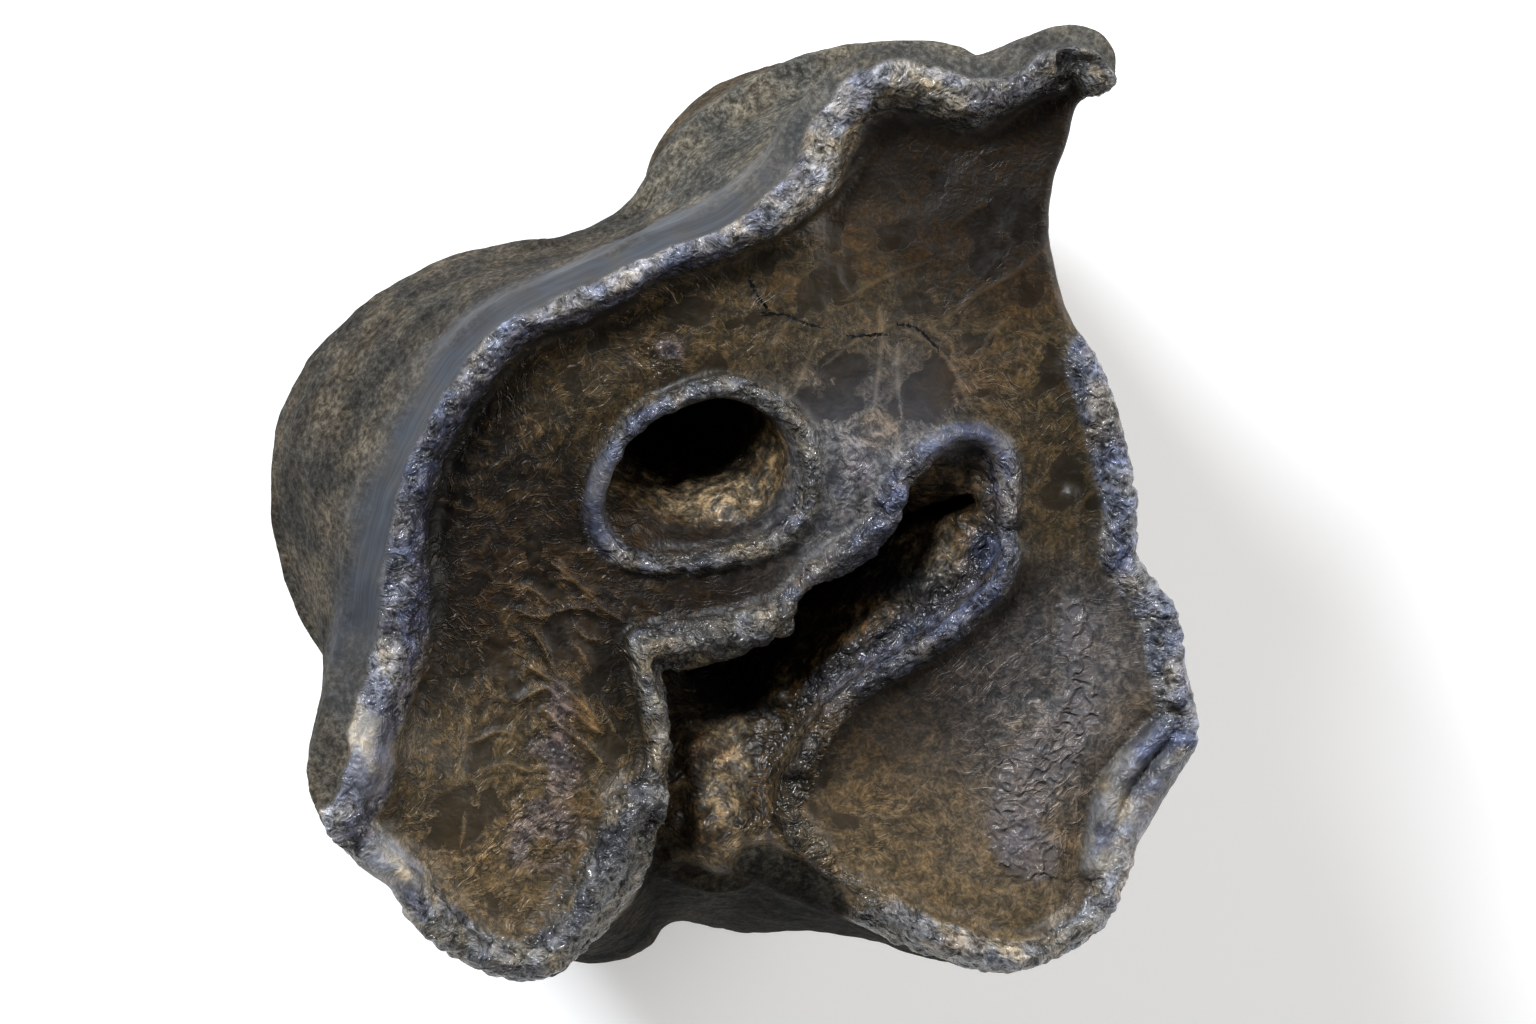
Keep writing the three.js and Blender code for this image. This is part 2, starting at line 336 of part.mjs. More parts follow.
// a thin upright wall that follows a line in plan, from z0 to z1
function parting(line, z0, z1) {
  const left = [], right = [];
  line.forEach(([x, y], n) => {
    const [ax, ay] = line[Math.max(n - 1, 0)], [bx, by] = line[Math.min(n + 1, line.length - 1)], l = Math.hypot(bx - ax, by - ay);
    left.push([x - ((by - ay) / l) * (GAP / 2), y + ((bx - ax) / l) * (GAP / 2)]);
    right.push([x + ((by - ay) / l) * (GAP / 2), y - ((bx - ax) / l) * (GAP / 2)]);
  });
  const n = line.length, verts = [], tris = [];
  for (const z of [z0, z1]) for (const side of [right, left]) for (const [x, y] of side) verts.push(x, y, z);
  const R0 = 0, L0 = n, R1 = 2 * n, L1 = 3 * n, quad = (a, b, c, d) => tris.push(a, b, c, a, c, d);
  for (let i = 0; i < n - 1; i++) {
    quad(R0 + i, R0 + i + 1, R1 + i + 1, R1 + i); // right side
    quad(L0 + i + 1, L0 + i, L1 + i, L1 + i + 1); // left side
    quad(R1 + i, R1 + i + 1, L1 + i + 1, L1 + i); // top
    quad(R0 + i + 1, R0 + i, L0 + i, L0 + i + 1); // bottom
  }
  quad(L0, R0, R1, L1);
  quad(R0 + n - 1, L0 + n - 1, L1 + n - 1, R1 + n - 1);
  return toSolid(verts, tris);
}
// where the outer wall parts from the two cross crests, and where these part from each other along the valley
const OUTER_PARTING = [[-29, -18.8], [-21.5, -14.6], [-17, -6.5], [-11.5, 0], [-3.3, 2.4], [3.5, 6.8], [10, 14.6], [15, 20], [22, 22.6]];
const VALLEY_PARTING = [[6.2, 10], [11.5, 7.2], [15.4, 4.2], [15.8, 1.2], [14.2, -0.8], [12, -0.6], [9.2, -1.5], [6, -4.3], [4.3, -5.9], [2.4, -7.9], [-0.4, -9.9], [-2.2, -12.2], [-2.4, -16], [-1.6, -22], [0.5, -36]];

const { verts, tris } = simplify(surface(), TRIANGLES);
const whole = toSolid(verts, tris);
const outerLine = smooth(OUTER_PARTING, false, 1.6);
const valleyLine = smooth(VALLEY_PARTING, false, 1.6);
valleyLine[0] = outerLine.reduce((a, b) => (Math.hypot(b[0] - VALLEY_PARTING[0][0], b[1] - VALLEY_PARTING[0][1]) < Math.hypot(a[0] - VALLEY_PARTING[0][0], a[1] - VALLEY_PARTING[0][1]) ? b : a));
const flat = toSolid(
  [-60, -60, -GAP / 2, 60, -60, -GAP / 2, 60, 60, -GAP / 2, -60, 60, -GAP / 2, -60, -60, GAP / 2, 60, -60, GAP / 2, 60, 60, GAP / 2, -60, 60, GAP / 2],
  [0, 2, 1, 0, 3, 2, 4, 5, 6, 4, 6, 7, 0, 1, 5, 0, 5, 4, 1, 2, 6, 1, 6, 5, 2, 3, 7, 2, 7, 6, 3, 0, 4, 3, 4, 7],
).translate([0, 0, NECK_CUT_Z]);
const box = whole.boundingBox();
const pieces = whole
  .subtract(flat)
  .subtract(parting(outerLine, NECK_CUT_Z, 60))
  .subtract(parting(valleyLine, NECK_CUT_Z, 60))
  .translate([-(box.min[0] + box.max[0]) / 2, -(box.min[1] + box.max[1]) / 2, 0])
  .simplify(0.004)
  .decompose()
  .filter((piece) => piece.volume() > 5);

// ---- names and colours --------------------------------------------------------------------------
const LOOK = { // colour and roughness of each named part
  ectoloph: [0x6a655a, 0.42],
  protoloph: [0x5f4c36, 0.45],
  metaloph: [0x57472f, 0.45],
  root_outer_rear: [0x4e4638, 0.7],
  root_outer_front: [0x4e4638, 0.7],
  root_inner_front: [0x4a4133, 0.7],
  root_inner_rear: [0x4a4133, 0.7],
};
const nameOf = (piece) => {
  const b = piece.boundingBox(), x = (b.min[0] + b.max[0]) / 2, y = (b.min[1] + b.max[1]) / 2;
  if (b.max[2] < NECK_CUT_Z) return `root_${y - x > -5 ? "outer" : "inner"}_${x + y * 0.4 > (y - x > -5 ? -2 : -8) ? "front" : "rear"}`;
  return y - x > 5 ? "ectoloph" : x > 3 ? "protoloph" : "metaloph";
};
const group = new THREE.Group();
group.name = "woolly_rhino_tooth";
for (const piece of pieces) {
  const name = nameOf(piece), mesh = piece.getMesh(), geometry = new THREE.BufferGeometry();
  geometry.setAttribute("position", new THREE.BufferAttribute(new Float32Array(mesh.vertProperties), 3));
  geometry.setIndex(new THREE.BufferAttribute(new Uint32Array(mesh.triVerts), 1));
  geometry.computeVertexNormals();
  const [color, roughness] = LOOK[name];
  const part = new THREE.Mesh(geometry, new THREE.MeshStandardMaterial({ color, roughness, metalness: 0 }));
  part.name = name;
  group.add(part);
}
export default group;
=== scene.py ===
import math

import bpy
import numpy as np
from mathutils import Matrix, Vector


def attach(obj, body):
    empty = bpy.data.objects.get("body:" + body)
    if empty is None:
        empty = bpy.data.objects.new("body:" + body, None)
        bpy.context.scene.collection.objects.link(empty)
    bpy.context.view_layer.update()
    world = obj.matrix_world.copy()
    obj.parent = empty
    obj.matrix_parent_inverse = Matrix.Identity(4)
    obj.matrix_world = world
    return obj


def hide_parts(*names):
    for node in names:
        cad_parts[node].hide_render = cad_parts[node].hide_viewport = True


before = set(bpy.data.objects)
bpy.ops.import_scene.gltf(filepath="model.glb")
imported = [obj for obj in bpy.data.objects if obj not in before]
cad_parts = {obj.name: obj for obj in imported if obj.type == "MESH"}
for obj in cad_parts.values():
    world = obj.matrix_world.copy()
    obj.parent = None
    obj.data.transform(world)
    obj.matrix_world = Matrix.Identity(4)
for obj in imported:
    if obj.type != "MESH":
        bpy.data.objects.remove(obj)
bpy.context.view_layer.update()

# A worn upper cheek tooth of a woolly rhinoceros, as one skin round the parted solids.
# Shapes are worked out in millimetres, in the solids' own plan, and moved by SHIFT to the row frame.

# ---- sizes ---------------------------------------------------------------------------------------
FACE_Z, BULGE_Z = 50.0, 22.0
RIM_ROUNDING, WALL_INSET_AT_NECK = 0.8, 2.6
PIT_LEAN, PIT_TAPER = (-0.1, 0.11), 0.08
SLIT_HALF_WIDTH, SLIT_FLOOR_Z = 0.6, 34.0
CROWN_BELOW_Z = 12.0
STEP = 0.24  # plan sampling of the skin
STEP_FACE, STEP_WALL = 0.22, 0.5  # sampling in height, on the chewing face and on the walls

RIM = {
    "cheek": [(-26.1, -14.4), (-25.6, -11.9), (-24.8, -9.6), (-23.7, -6.4), (-23.2, -3), (-22.3, 0.8), (-20.7, 4.7), (-18.3, 8.8), (-15.2, 11.8), (-10.8, 13.9), (-6.5, 16), (-2.4, 17.6), (0, 19.6), (1.4, 22), (3.4, 24.7), (6.2, 26.2), (9.4, 26.2), (12.8, 25.3), (14.6, 26.5), (17, 27.4), (19.1, 26.9), (20.2, 25.4)],
    "front": [(19.4, 23.8), (18.1, 22.5), (17.4, 20.2), (16.6, 18), (16.4, 15.4), (16.9, 12.9), (17.7, 10.5), (19.5, 7.6), (20.4, 5), (20.9, 2.4), (21.6, -0.6), (21.5, -2.9), (22.7, -4.6), (23.7, -6), (24.2, -9), (25, -12.2)],
    "protocone": [(24.6, -14.9), (23.2, -17.1), (21.6, -19.7), (20.7, -22), (19.3, -24.6), (17, -26), (14.4, -26.9), (11.4, -26.3), (8.4, -25.1), (6.2, -23.8)],
    "valleyLip": [(4.2, -22.7), (1.9, -21.3), (0.1, -20.5), (-1.8, -21.1), (-3.4, -20.1), (-5, -19.2)],
    "hypocone": [(-6.4, -17.7), (-7.6, -20.2), (-9.2, -23.2), (-10.9, -25.7), (-13, -26.9), (-15.4, -26.7), (-18, -25.4), (-20.1, -23.5), (-21.3, -21.5), (-23.4, -19.7), (-25.1, -17.3)],
}
BULGE = [(-22.1, -13.1), (-23.9, -8.2), (-25.4, -2.8), (-25.5, 1), (-23.9, 4.8), (-20.4, 8.6), (-16.2, 11.1), (-11.5, 12.1), (-7.9, 12.7), (-4, 14.6), (-1, 17.9), (3.6, 20.3), (7.9, 22.3), (11.8, 23.4), (15.2, 23.2),
         (16.4, 21.2), (15.6, 17), (15.6, 12), (17, 6.5), (18.4, 0.5), (19.8, -6), (21.3, -12), (21.8, -18.5),
         (20.5, -24.5), (17, -28.5), (12.5, -29.6), (8.7, -28.6), (5.4, -28.1), (1.2, -28.4), (-2.7, -27.8), (-3.7, -29), (-5.6, -29.9), (-8.5, -29.8),
         (-13, -27), (-17.5, -22.5), (-21, -17.5)]
PIT = [(-8.8, 0.1), (-8.3, -1.6), (-6, -2.6), (-2.6, -2.2), (0, -1.4), (1.7, 0.8), (1.7, 3.5), (0.3, 5.3), (-2.2, 6.2), (-5.2, 5.4), (-7.6, 3.4)]
PIT_FLOOR = [
    (-7.6, -1.2, 47.9), (-5.2, -1.4, 47.2), (-2.6, -1.2, 46.9), (-0.2, -0.2, 46.9), (1.2, 1.4, 46.6), (1.2, 3.4, 45.6), (-8.3, 0.8, 46.4),
    (-6, 0.2, 45.4), (-3.2, 0.4, 44.6), (-0.6, 1.6, 44.8), (0, 3.6, 43.5), (-7, 2, 42), (-4.6, 1.9, 39), (-2, 3, 37), (-4, 3.8, 36), (-1.6, 4.9, 39), (-5.6, 3.4, 38),
]
VALLEY = [(-5.5, -9.4), (-4.4, -9.4), (-2.4, -8.9), (-0.2, -7.8), (1.5, -7.1), (1.9, -5.6), (3, -4.4), (4.4, -4.1), (6.2, -2.9), (7.5, -1.4), (8.2, 0.9), (9.3, 2.2), (11, 3.2), (12.6, 3), (13.3, 1.8), (13.4, -0.4), (13.5, -2.6), (12.9, -4.2), (11.4, -5.9), (9.7, -7.2), (7.6, -8.6), (5.6, -9.8), (4, -11.2), (2.8, -12.7), (1.8, -14.4), (0.9, -16.6), (0.9, -18.3), (2, -20), (3.2, -21.4), (3.5, -26), (-5.6, -26), (-6, -19.4), (-5.6, -17.4), (-5.3, -14.8), (-5.2, -12.6)]
SLIT = [(12, -0.3), (10.6, -0.7), (9.2, -1.5), (7.8, -2.6), (6, -4.3), (4.3, -5.9), (2.4, -7.9), (-0.4, -9.9), (-3, -11.1)]

DENTINE = [
    (-16.5, -3, 46.9), (-14, -10, 46.6), (-14.5, -17, 46.8), (-12.5, -21.5, 47), (-16.5, 4, 47.3), (-20.6, -16.6, 48.9), (-17.5, -20, 47.8), (-17.6, -9, 46.6), (-9.5, -14, 47.4),
    (-5, 10, 48.5), (-10.6, 7.6, 47.9), (-12, 2.6, 47.5), (-11.2, -3.4, 46.9), (-7.5, -5, 47), (-3, -4.8, 47.7), (2, -3, 48.2), (5, 1.5, 49.1),
    (0, 11, 48.9), (5, 6, 48.8), (9, 8, 48.6), (9, 14, 48.2), (9, 19.5, 47.4), (13.5, 20.5, 47.7), (14, 10, 48.4), (15, 5, 48.3), (15.5, 16, 48.3),
    (17.2, 24.4, 48.4), (16, -3, 48), (14, -9, 47.2), (9, -14, 46.5), (6, -18, 46.8), (11.5, -18, 46.7), (15, -12.5, 47.2), (17.6, -13.4, 48.3),
    (15.4, -20.6, 47.9), (20, -7, 48.2), (20.5, -11.5, 48.8), (22.6, -15.8, 47.4), (21, -18.8, 47.4), (-9, -10, 47), (18, -18.5, 48.4),
]
DENTINE_REACH = 2.9
VALLEY_FLOOR = [
    (9.7, 1.4, 47.9), (11.2, 2.2, 47.9), (12.5, 1.8, 47.8), (12.9, 0.2, 47.6), (8.6, 0.3, 47.4), (12.9, -1.6, 47.4),
    (11.6, -0.2, 45), (10.4, -0.7, 43), (9, -1.5, 41), (7.8, -2.6, 40), (11.8, -1.9, 46.9), (10.6, -2.5, 46.6), (9.6, -3.3, 46.4),
    (12, -4, 46.7), (10.4, -5.2, 45.9), (8.8, -5.2, 45.7), (8.2, -6.6, 45.7), (6.8, -7, 45.4), (6.7, -5.5, 43.8),
    (6, -4.2, 39.5), (4.6, -5.6, 38), (2.8, -7.4, 37.5), (1, -8.8, 37), (-0.8, -10.2, 37), (-2.6, -11.2, 37), (-4, -11, 38.4),
    (6.4, -8.4, 45.2), (4.8, -9.2, 44.6), (3.2, -10.2, 44.2), (1.8, -11.2, 43.4), (4, -11, 45.4), (2.6, -12.4, 44.4), (0.8, -12.8, 43.4),
    (-0.9, -13.4, 42.6), (-3.6, -13.8, 42.6), (-4.6, -13, 42.6), (-2.4, -15, 44.2), (-4.6, -16, 44), (-0.4, -15.2, 44.2), (1.4, -15.4, 45.4),
    (-1.8, -17.2, 44.8), (-1.9, -18.6, 46.4), (-4.4, -18.2, 44.6), (0.4, -17.8, 45.2), (1.3, -19.6, 46), (0, -25, 45), (-4, -24, 44),
]
FLOOR_REACH = 1.2
RIDGES = [  # line, height, half width, kind; a negative height is a groove
    ([(6.6, 0.5), (7.9, 2.1), (9.5, 3.5), (11, 4.1), (12.6, 3.9), (13.7, 2.8), (14, 1.2), (13.8, -0.8)], 0.7, 0.6, "smooth"),
    ([(13.6, -3), (13.3, -4.2), (12, -5.8), (10.2, -7.3), (8, -8.8), (6, -10), (4.2, -11.6), (3, -13.2), (2.2, -14.8)], 1.5, 0.95, "rough"),
    ([(-6.9, -8), (-6.7, -9.6), (-6.2, -11.4), (-6, -13), (-6.1, -14.8), (-6.9, -16.2), (-8, -18.4), (-9, -20.8)], 1.5, 0.62, "rough"),
    ([(-6.6, -7.8), (-4.4, -7.7), (-2, -7.2), (0, -6.5)], 1.3, 1.0, "rough"),
    ([(0, -6.5), (1.3, -5.4), (3, -3.8), (5, -2.3), (6.6, -0.8), (7.6, 0.9)], 0.9, 0.7, "rough"),
    ([(2.6, -15.4), (1.5, -17.6), (2.7, -19.6), (4.6, -22), (7, -23.5)], 0.5, 0.8, "rough"),
    ([(17.6, 0.4), (17.8, -4), (17.9, -7.6), (17.4, -10.6), (15.9, -13.6), (14.8, -17)], 0.35, 0.5, "bead"),
    ([(23.4, -12.6), (21.6, -14.4), (20.2, -16.4), (19.5, -18.6), (19.2, -20.8)], 1.6, 0.9, "smooth"),
    ([(23.5, -12.2), (21.8, -12.9), (20.3, -14.2), (19, -15.8), (18.4, -17.6), (17.9, -19.6), (17.4, -21.6)], -0.5, 0.42, "groove"),
    ([(-10.3, -0.4), (-9.7, -2.8), (-7.6, -4.3), (-4.4, -4.1), (-1.6, -3.7)], -0.5, 0.6, "groove"),
    ([(11.4, 22.6), (13.4, 23), (15, 23.6), (16.6, 24)], 1.3, 0.55, "rough"),
    ([(16.6, 25.3), (18.2, 25.1)], -1.3, 0.5, "groove"),
]
# rim bands: height, share of it at each distance inwards from the outline, where the enamel starts and ends
CHEEK_RIM = (3.1, [(-1.5, -0.05), (-0.5, 0.02), (0, 0.22), (0.5, 0.45), (0.85, 0.66), (1.1, 0.92), (1.5, 1.03), (2.1, 0.97), (2.6, 0.62), (3.1, 0.2), (3.6, 0.02), (4.2, -0.04), (6, 0), (9, 0)], 0.95, 2.9)
LOBE_RIM = (1.9, [(-1.5, 0.0), (-0.3, 0.35), (0.4, 0.72), (1.2, 1.0), (1.8, 0.85), (2.4, 0.42), (3.1, 0.1), (4.2, 0), (7, 0)], -2, 2.5)
FRONT_RIM = (1.2, [(-1.5, 0.0), (-0.3, 0.45), (0.4, 0.85), (0.9, 1.0), (1.5, 0.8), (2.2, 0.35), (3, 0.08), (4, 0), (6, 0)], -2, 2.2)
REAR_SPREAD = 1.55  # the cheek band is this much wider behind
# raised fibre marks: centre, spread, direction and its scatter (degrees), count, lengths, width, strength
FIBRES = [
    ((-15, 2), (3.2, 6.5), -35, 50, 80, (0.8, 2.2), 0.14, 0.8),
    ((-10.5, -4.4), (4.5, 2.4), -8, 18, 40, (1.2, 3.5), 0.15, 1.0),
    ((-12, -8.4), (3.0, 4.2), -52, 14, 40, (1.5, 4), 0.17, 1.2),
    ((-14.5, -14.5), (3.6, 5.5), 60, 60, 90, (1, 3), 0.14, 0.9),
    ((-9.5, -16), (1.8, 5.0), -65, 25, 44, (1, 2.6), 0.17, 1.0),
    ((6.3, 10.4), (7.5, 7), -68, 22, 60, (1.5, 5), 0.14, 0.9),
    ((6.3, 11), (8, 6), 32, 14, 50, (1.5, 5), 0.13, 0.8),
    ((14.8, 6.3), (2.6, 5), -45, 20, 36, (1.2, 3.4), 0.14, 0.9),
    ((12, -11.5), (5, 8), -10, 60, 70, (0.8, 2.2), 0.13, 0.6),
    ((15.4, -15.5), (1.5, 4.2), 10, 25, 60, (0.8, 2.4), 0.16, 1.2),
    ((-4, 9.3), (4, 1.6), -20, 40, 30, (0.8, 2.2), 0.14, 0.9),
    ((6, 1.5), (3, 3), -30, 50, 24, (0.8, 2.2), 0.14, 0.8),
]
LONG_FIBRES = [  # half width, height, line
    (0.24, 0.3, [(-13.7, -5.8), (-13.2, -6.1), (-12.2, -6.1), (-11.3, -5.8), (-10, -5.7), (-9.6, -5.9)]),
    (0.22, 0.28, [(-12.9, -7), (-12.4, -7.9), (-12, -8.8), (-11.5, -9.5)]),
    (0.24, 0.32, [(-13.2, -9), (-12.2, -9.6), (-11.3, -10.1), (-10.5, -10.9), (-9.8, -11.6), (-9.2, -12.2)]),
    (0.26, 0.34, [(-13.7, -10.9), (-12.7, -10.3), (-12.1, -10.2), (-11.3, -11.2), (-10.6, -11.6), (-10, -12.2), (-9.3, -12.7)]),
    (0.22, 0.28, [(-11.9, -11.9), (-11.1, -12.7), (-10.3, -13.2), (-9.6, -13.9), (-9.1, -14.5)]),
    (0.18, 0.22, [(-13.2, -4.5), (-12.6, -4.9), (-12.1, -5.4)]),
    (0.2, 0.25, [(-11.8, -3.2), (-11, -3.8), (-10.3, -4.5), (-9.3, -4.9)]),
    (0.2, 0.25, [(-11.3, -4), (-10.6, -4.1), (-9.8, -4.9), (-9, -5.8), (-8, -6.4)]),
    (0.18, 0.2, [(-10.6, -6.7), (-10, -7.4), (-9.5, -7.5)]),
    (0.18, 0.22, [(-10.5, -7.9), (-10, -8.7), (-9.8, -9.3)]),
    (0.2, 0.22, [(-9.2, -11.1), (-8.8, -11.9), (-8.4, -12.7)]),
    (0.15, 0.12, [(-16.7, -11.3), (-16.8, -12.6), (-17, -13.9), (-17.3, -14.7)]),
    (0.15, 0.12, [(-16.5, -13.2), (-16, -13.1), (-15.2, -12.7), (-14.5, -12.7)]),
    (0.15, 0.12, [(-16.2, -14.9), (-15.2, -14.6), (-14.3, -14.5), (-13.4, -14.9)]),
    (0.15, 0.12, [(-17, -17.5), (-17.1, -18.8)]),
    (0.14, 0.1, [(16.4, 14.9), (15.7, 14.2), (14.7, 13.4), (13.4, 12.6), (12.7, 12.2), (11.5, 11.6)]),
    (0.14, 0.06, [(12.7, 17.1), (11.7, 16.5), (10.9, 15.9)]),
    (0.16, 0.08, [(6.4, 20.2), (5.7, 19.4), (5.1, 18.8), (3.3, 17.6)]),
    (0.2, 0.1, [(6.5, 11), (6.6, 9.4), (6.4, 7.4), (6.2, 5.8)]),
    (0.18, 0.1, [(7.6, 9), (7.5, 7.6), (7.7, 5.4)]),
    (0.18, 0.06, [(2.8, 9.2), (2.3, 8), (1.7, 6.6)]),
    (0.18, 0.06, [(1.3, 10.6), (0.7, 9.6), (0.1, 8.4)]),
    (0.16, 0.05, [(8.1, 10.6), (7.1, 10.2), (5.1, 9.4), (3.5, 8.2)]),
    (0.18, 0.05, [(4.7, 11.8), (6.1, 12.6), (7.5, 13.2), (9.1, 13.7)]),
    (0.16, 0.05, [(9.9, 10.2), (10.7, 10.8), (11.7, 11.6), (12.7, 12.6)]),
    (0.2, 0.06, [(8.1, 9.9), (9.1, 9.4), (10.7, 7.8), (11.5, 5.8)]),
    (0.15, 0.06, [(13.7, 10.4), (12.9, 9.6), (12.3, 8.6)]),
    (0.15, 0.06, [(14.7, 9.7), (15.7, 9.4), (16.5, 9)]),
]
CRACKS = [  # thin dark breaks in the dentine
    [(-0.9, 13.0), (-0.5, 12.2), (0.0, 11.5)],
    [(0.0, 11.05), (1.2, 11.0), (2.0, 10.6), (3.0, 10.3)],
    [(5.0, 9.7), (6.7, 9.8)],
    [(7.8, 10.3), (8.6, 10.1), (9.7, 9.05)],
]
SMOOTH_PATCHES = [((12.6, 14.3), (0.9, 1.5)), ((2.9, 12), (0.9, 0.7)), ((8.7, 11.2), (1.3, 0.7)), ((4.5, 8), (1.4, 1.1)), ((8.9, 6.2), (1.6, 1.3)), ((3.6, 5.8), (1.8, 0.9)), ((7.5, 15.4), (1.1, 0.8)), ((14, 16.5), (1.6, 1.2)),
    ((-10.8, -7.2), (1.4, 1.6)), ((-9.3, -9), (1.1, 1.6)), ((-16, -13.9), (0.9, 0.9)), ((-17.6, -17.6), (1.6, 1.4)), ((-10.7, -14.2), (1, 1.1)), ((-15, -8.2), (0.8, 1.2)), ((-8.6, -13.6), (0.8, 1)), ((17.2, 1), (1, 1.3)), ((-4.5, 11.2), (1.3, 0.8))]
BROWN_PATCHES = [((5.4, 15.3), (3.2, 2.2)), ((10, 14.7), (1.7, 1.3)), ((15.4, 12.3), (1.8, 2.2)), ((11.6, 7.5), (2.6, 1.7)), ((1.2, 12.7), (1.3, 0.9)), ((6.3, 4.5), (1.5, 1)), ((-15.5, -3.5), (2, 4)), ((-11, -12.2), (1.6, 1.2)), ((-6.5, 9.5), (1.3, 1)), ((13.5, 8.5), (1.4, 1))]
WALL_MARKS = [((-9.9, 12.3, 24), 1.1, 0.45), ((-4.9, 14.0, 24), 0.5, -0.6), ((-4.2, 14.6, 24.6), 0.5, -0.6), ((-22.9, 4.6, 23), 1.3, 0.3), ((-14.6, 9, 27), 0.6, -0.35), ((-11.4, 10.8, 28), 0.7, -0.2)]
# how strongly the fibres stand out of the dentine
FIBROUS = [((-14, 2), 1), ((-12, -8), 1), ((-15, -14), 0.7), ((-9, -15), 0.9), ((-13, -20), 0.7), ((-6, 9), 0.7), ((1, 10), 0.3), ((8, 17), 0.12), ((6, 9), 0.25), ((14, 13), 0.15), ((15, 5), 0.5), ((15, -5), 0.35), ((9, -14), 0.2), ((10, -20), 0.35), ((16.4, -14), 0.9), ((20, -8), 0.3), ((21, -14), 0.25), ((0, -4.4), 0.3), ((5, 1.5), 0.6)]
# the few tones of the fossil: brown dentine, grey enamel, dull walls
TONES = {
    "black_brown": (15, 12, 8), "dark_brown": (25, 18, 10), "brown": (50, 42, 28), "clay": (80, 68, 50), "tan": (105, 92, 72),
    "slate": (55, 57, 65), "blue_grey": (80, 82, 88), "grey": (70, 68, 63), "pale_grey": (98, 96, 92),
    "wall_dark": (35, 33, 29), "wall_brown": (54, 51, 46),
}
# its markings, each named: centre, tone
DENTINE_TINT = [
    ((-18, 0), "black_brown"),  # rear edge of the metaloph, its own dark tone with painted shadow of the cheek crest
    ((-13, -5), "dark_brown"),  # middle of the metaloph
    ((-14, -14), "brown"),  # where it narrows
    ((-13, -21), "clay"),  # rear inner cusp
    ((-6, 9), "brown"),  # crest of the cheek wall, rear half
    ((3, 10), "brown"),  # and its middle
    ((11, 18), "dark_brown"),  # and its front, darkest beside the crest: partly its own tone, partly painted shadow of the crest
    ((-3, -4.5), "dark_brown"),  # bridge between pit and valley
    ((5, 1.6), "blue_grey"),  # small worn triangle beside the pit
    ((15.5, 4), "brown"),  # neck of the protoloph
    ((12, -11), "dark_brown"),  # middle of the protoloph
    ((13, -19), "clay"),  # front inner cusp
    ((17, -14), "blue_grey"),  # and its glossy middle, whose blue grey is partly a painted sheen
    ((21, -16), "clay"),  # and its outer side
]
ENAMEL_TINT = [
    ((-8.5, 2), "slate"),  # ring of the pit, rear
    ((-3, -4), "grey"),  # ring, towards the valley
    ((-3, 6.5), "grey"),  # ring, towards the cheek
    ((-19, -1), "slate"),  # rear edge
    ((-23, -15), "pale_grey"),  # rear corner, chalky
    ((-9, 12.5), "blue_grey"),  # cheek wall
    ((5, 23), "pale_grey"),  # front tip
    ((17, 26), "grey"),  # beyond the tip
    ((-13, -24), "grey"),  # edge of the rear inner cusp
    ((4, -20), "brown"),  # lip of the valley
    ((13, -25), "pale_grey"),  # edge of the front inner cusp
    ((10, -4), "slate"),  # edge of the valley, front
    ((21.5, -5), "blue_grey"),  # front edge
]
WALL_TINT = [
    ((-16, 6), "wall_brown"),  # cheek side, rear
    ((8, 22), "grey"),  # cheek side, front tip
    ((21, -3), "wall_brown"),  # front
    ((0, -28), "wall_dark"),  # tongue side, its dark tone near the top partly painted shade
]
HOLLOW_TINT = [  # filling in the hollows: centre, radii, tone
    ((-1.6, -15.4), (1.5, 3.0), "tan"),  # crust in the mouth of the valley, its tan partly a painted sheen
    ((-4.9, -13.5), (0.8, 4.5), "brown"),  # its rear side
    ((-1.6, -11.6), (2.4, 1.2), "black_brown"),  # its deep end, near black as painted shade
    ((2.8, -12), (1.8, 3.4), "brown"),  # its front side
    ((6.2, -7), (4.2, 1.6), "clay"),  # shelf of the valley
    ((9.4, -3.2), (2.4, 1.7), "tan"),  # head of the valley
    ((-3, 0.3), (4, 1.2), "tan"),  # lighter tan on the pit's lower side, partly its crust and partly painted light where light falls into the pit
    # the pit's right side below, lighter clay: partly painted light
    ((0.9, 2.6), (0.8, 2.5), "clay"),
]
HOLE_TINT, ROOT_TINT = (58, 46, 30), (60, 52, 40)
FIBRE_TURN = [((-16, 4), 75), ((-13, 6), 60), ((-15, -1), 40), ((-11, -1), -40), ((-10.5, -4.4), -8), ((-14, -6), -30), ((-11.5, -9.5), -52), ((-16.5, -11), 85), ((-13, -15), -70), ((-17, -17), 60), ((-11, -19), 40), ((-13, -22), 20),
    ((-5, 9.5), -30), ((1, 9.5), 80), ((6, 8), -72), ((9, 12), 32), ((4, 13), 25), ((13, 7), -45), ((15.5, 3), 80), ((15, -4), 88), ((13, -9), 60), ((9, -15), 20), ((12, -19), -60), ((15.5, -15), 15), ((20, -9), 5), ((21, -13), 40), ((18.5, -17), 70)]
# glossy patches, lower in roughness and tinted with a painted bluish sheen: centre, radii
GLOSSY_SHEEN_PATCHES = [((-11.6, -13.5), (1.5, 3.6)), ((-12.6, -18.5), (2.4, 2.6)), ((15, -19.4), (1.5, 1.8)), ((5.2, 1.4), (1.5, 2.4)), ((-6, 8.6), (1.6, 1.2))]
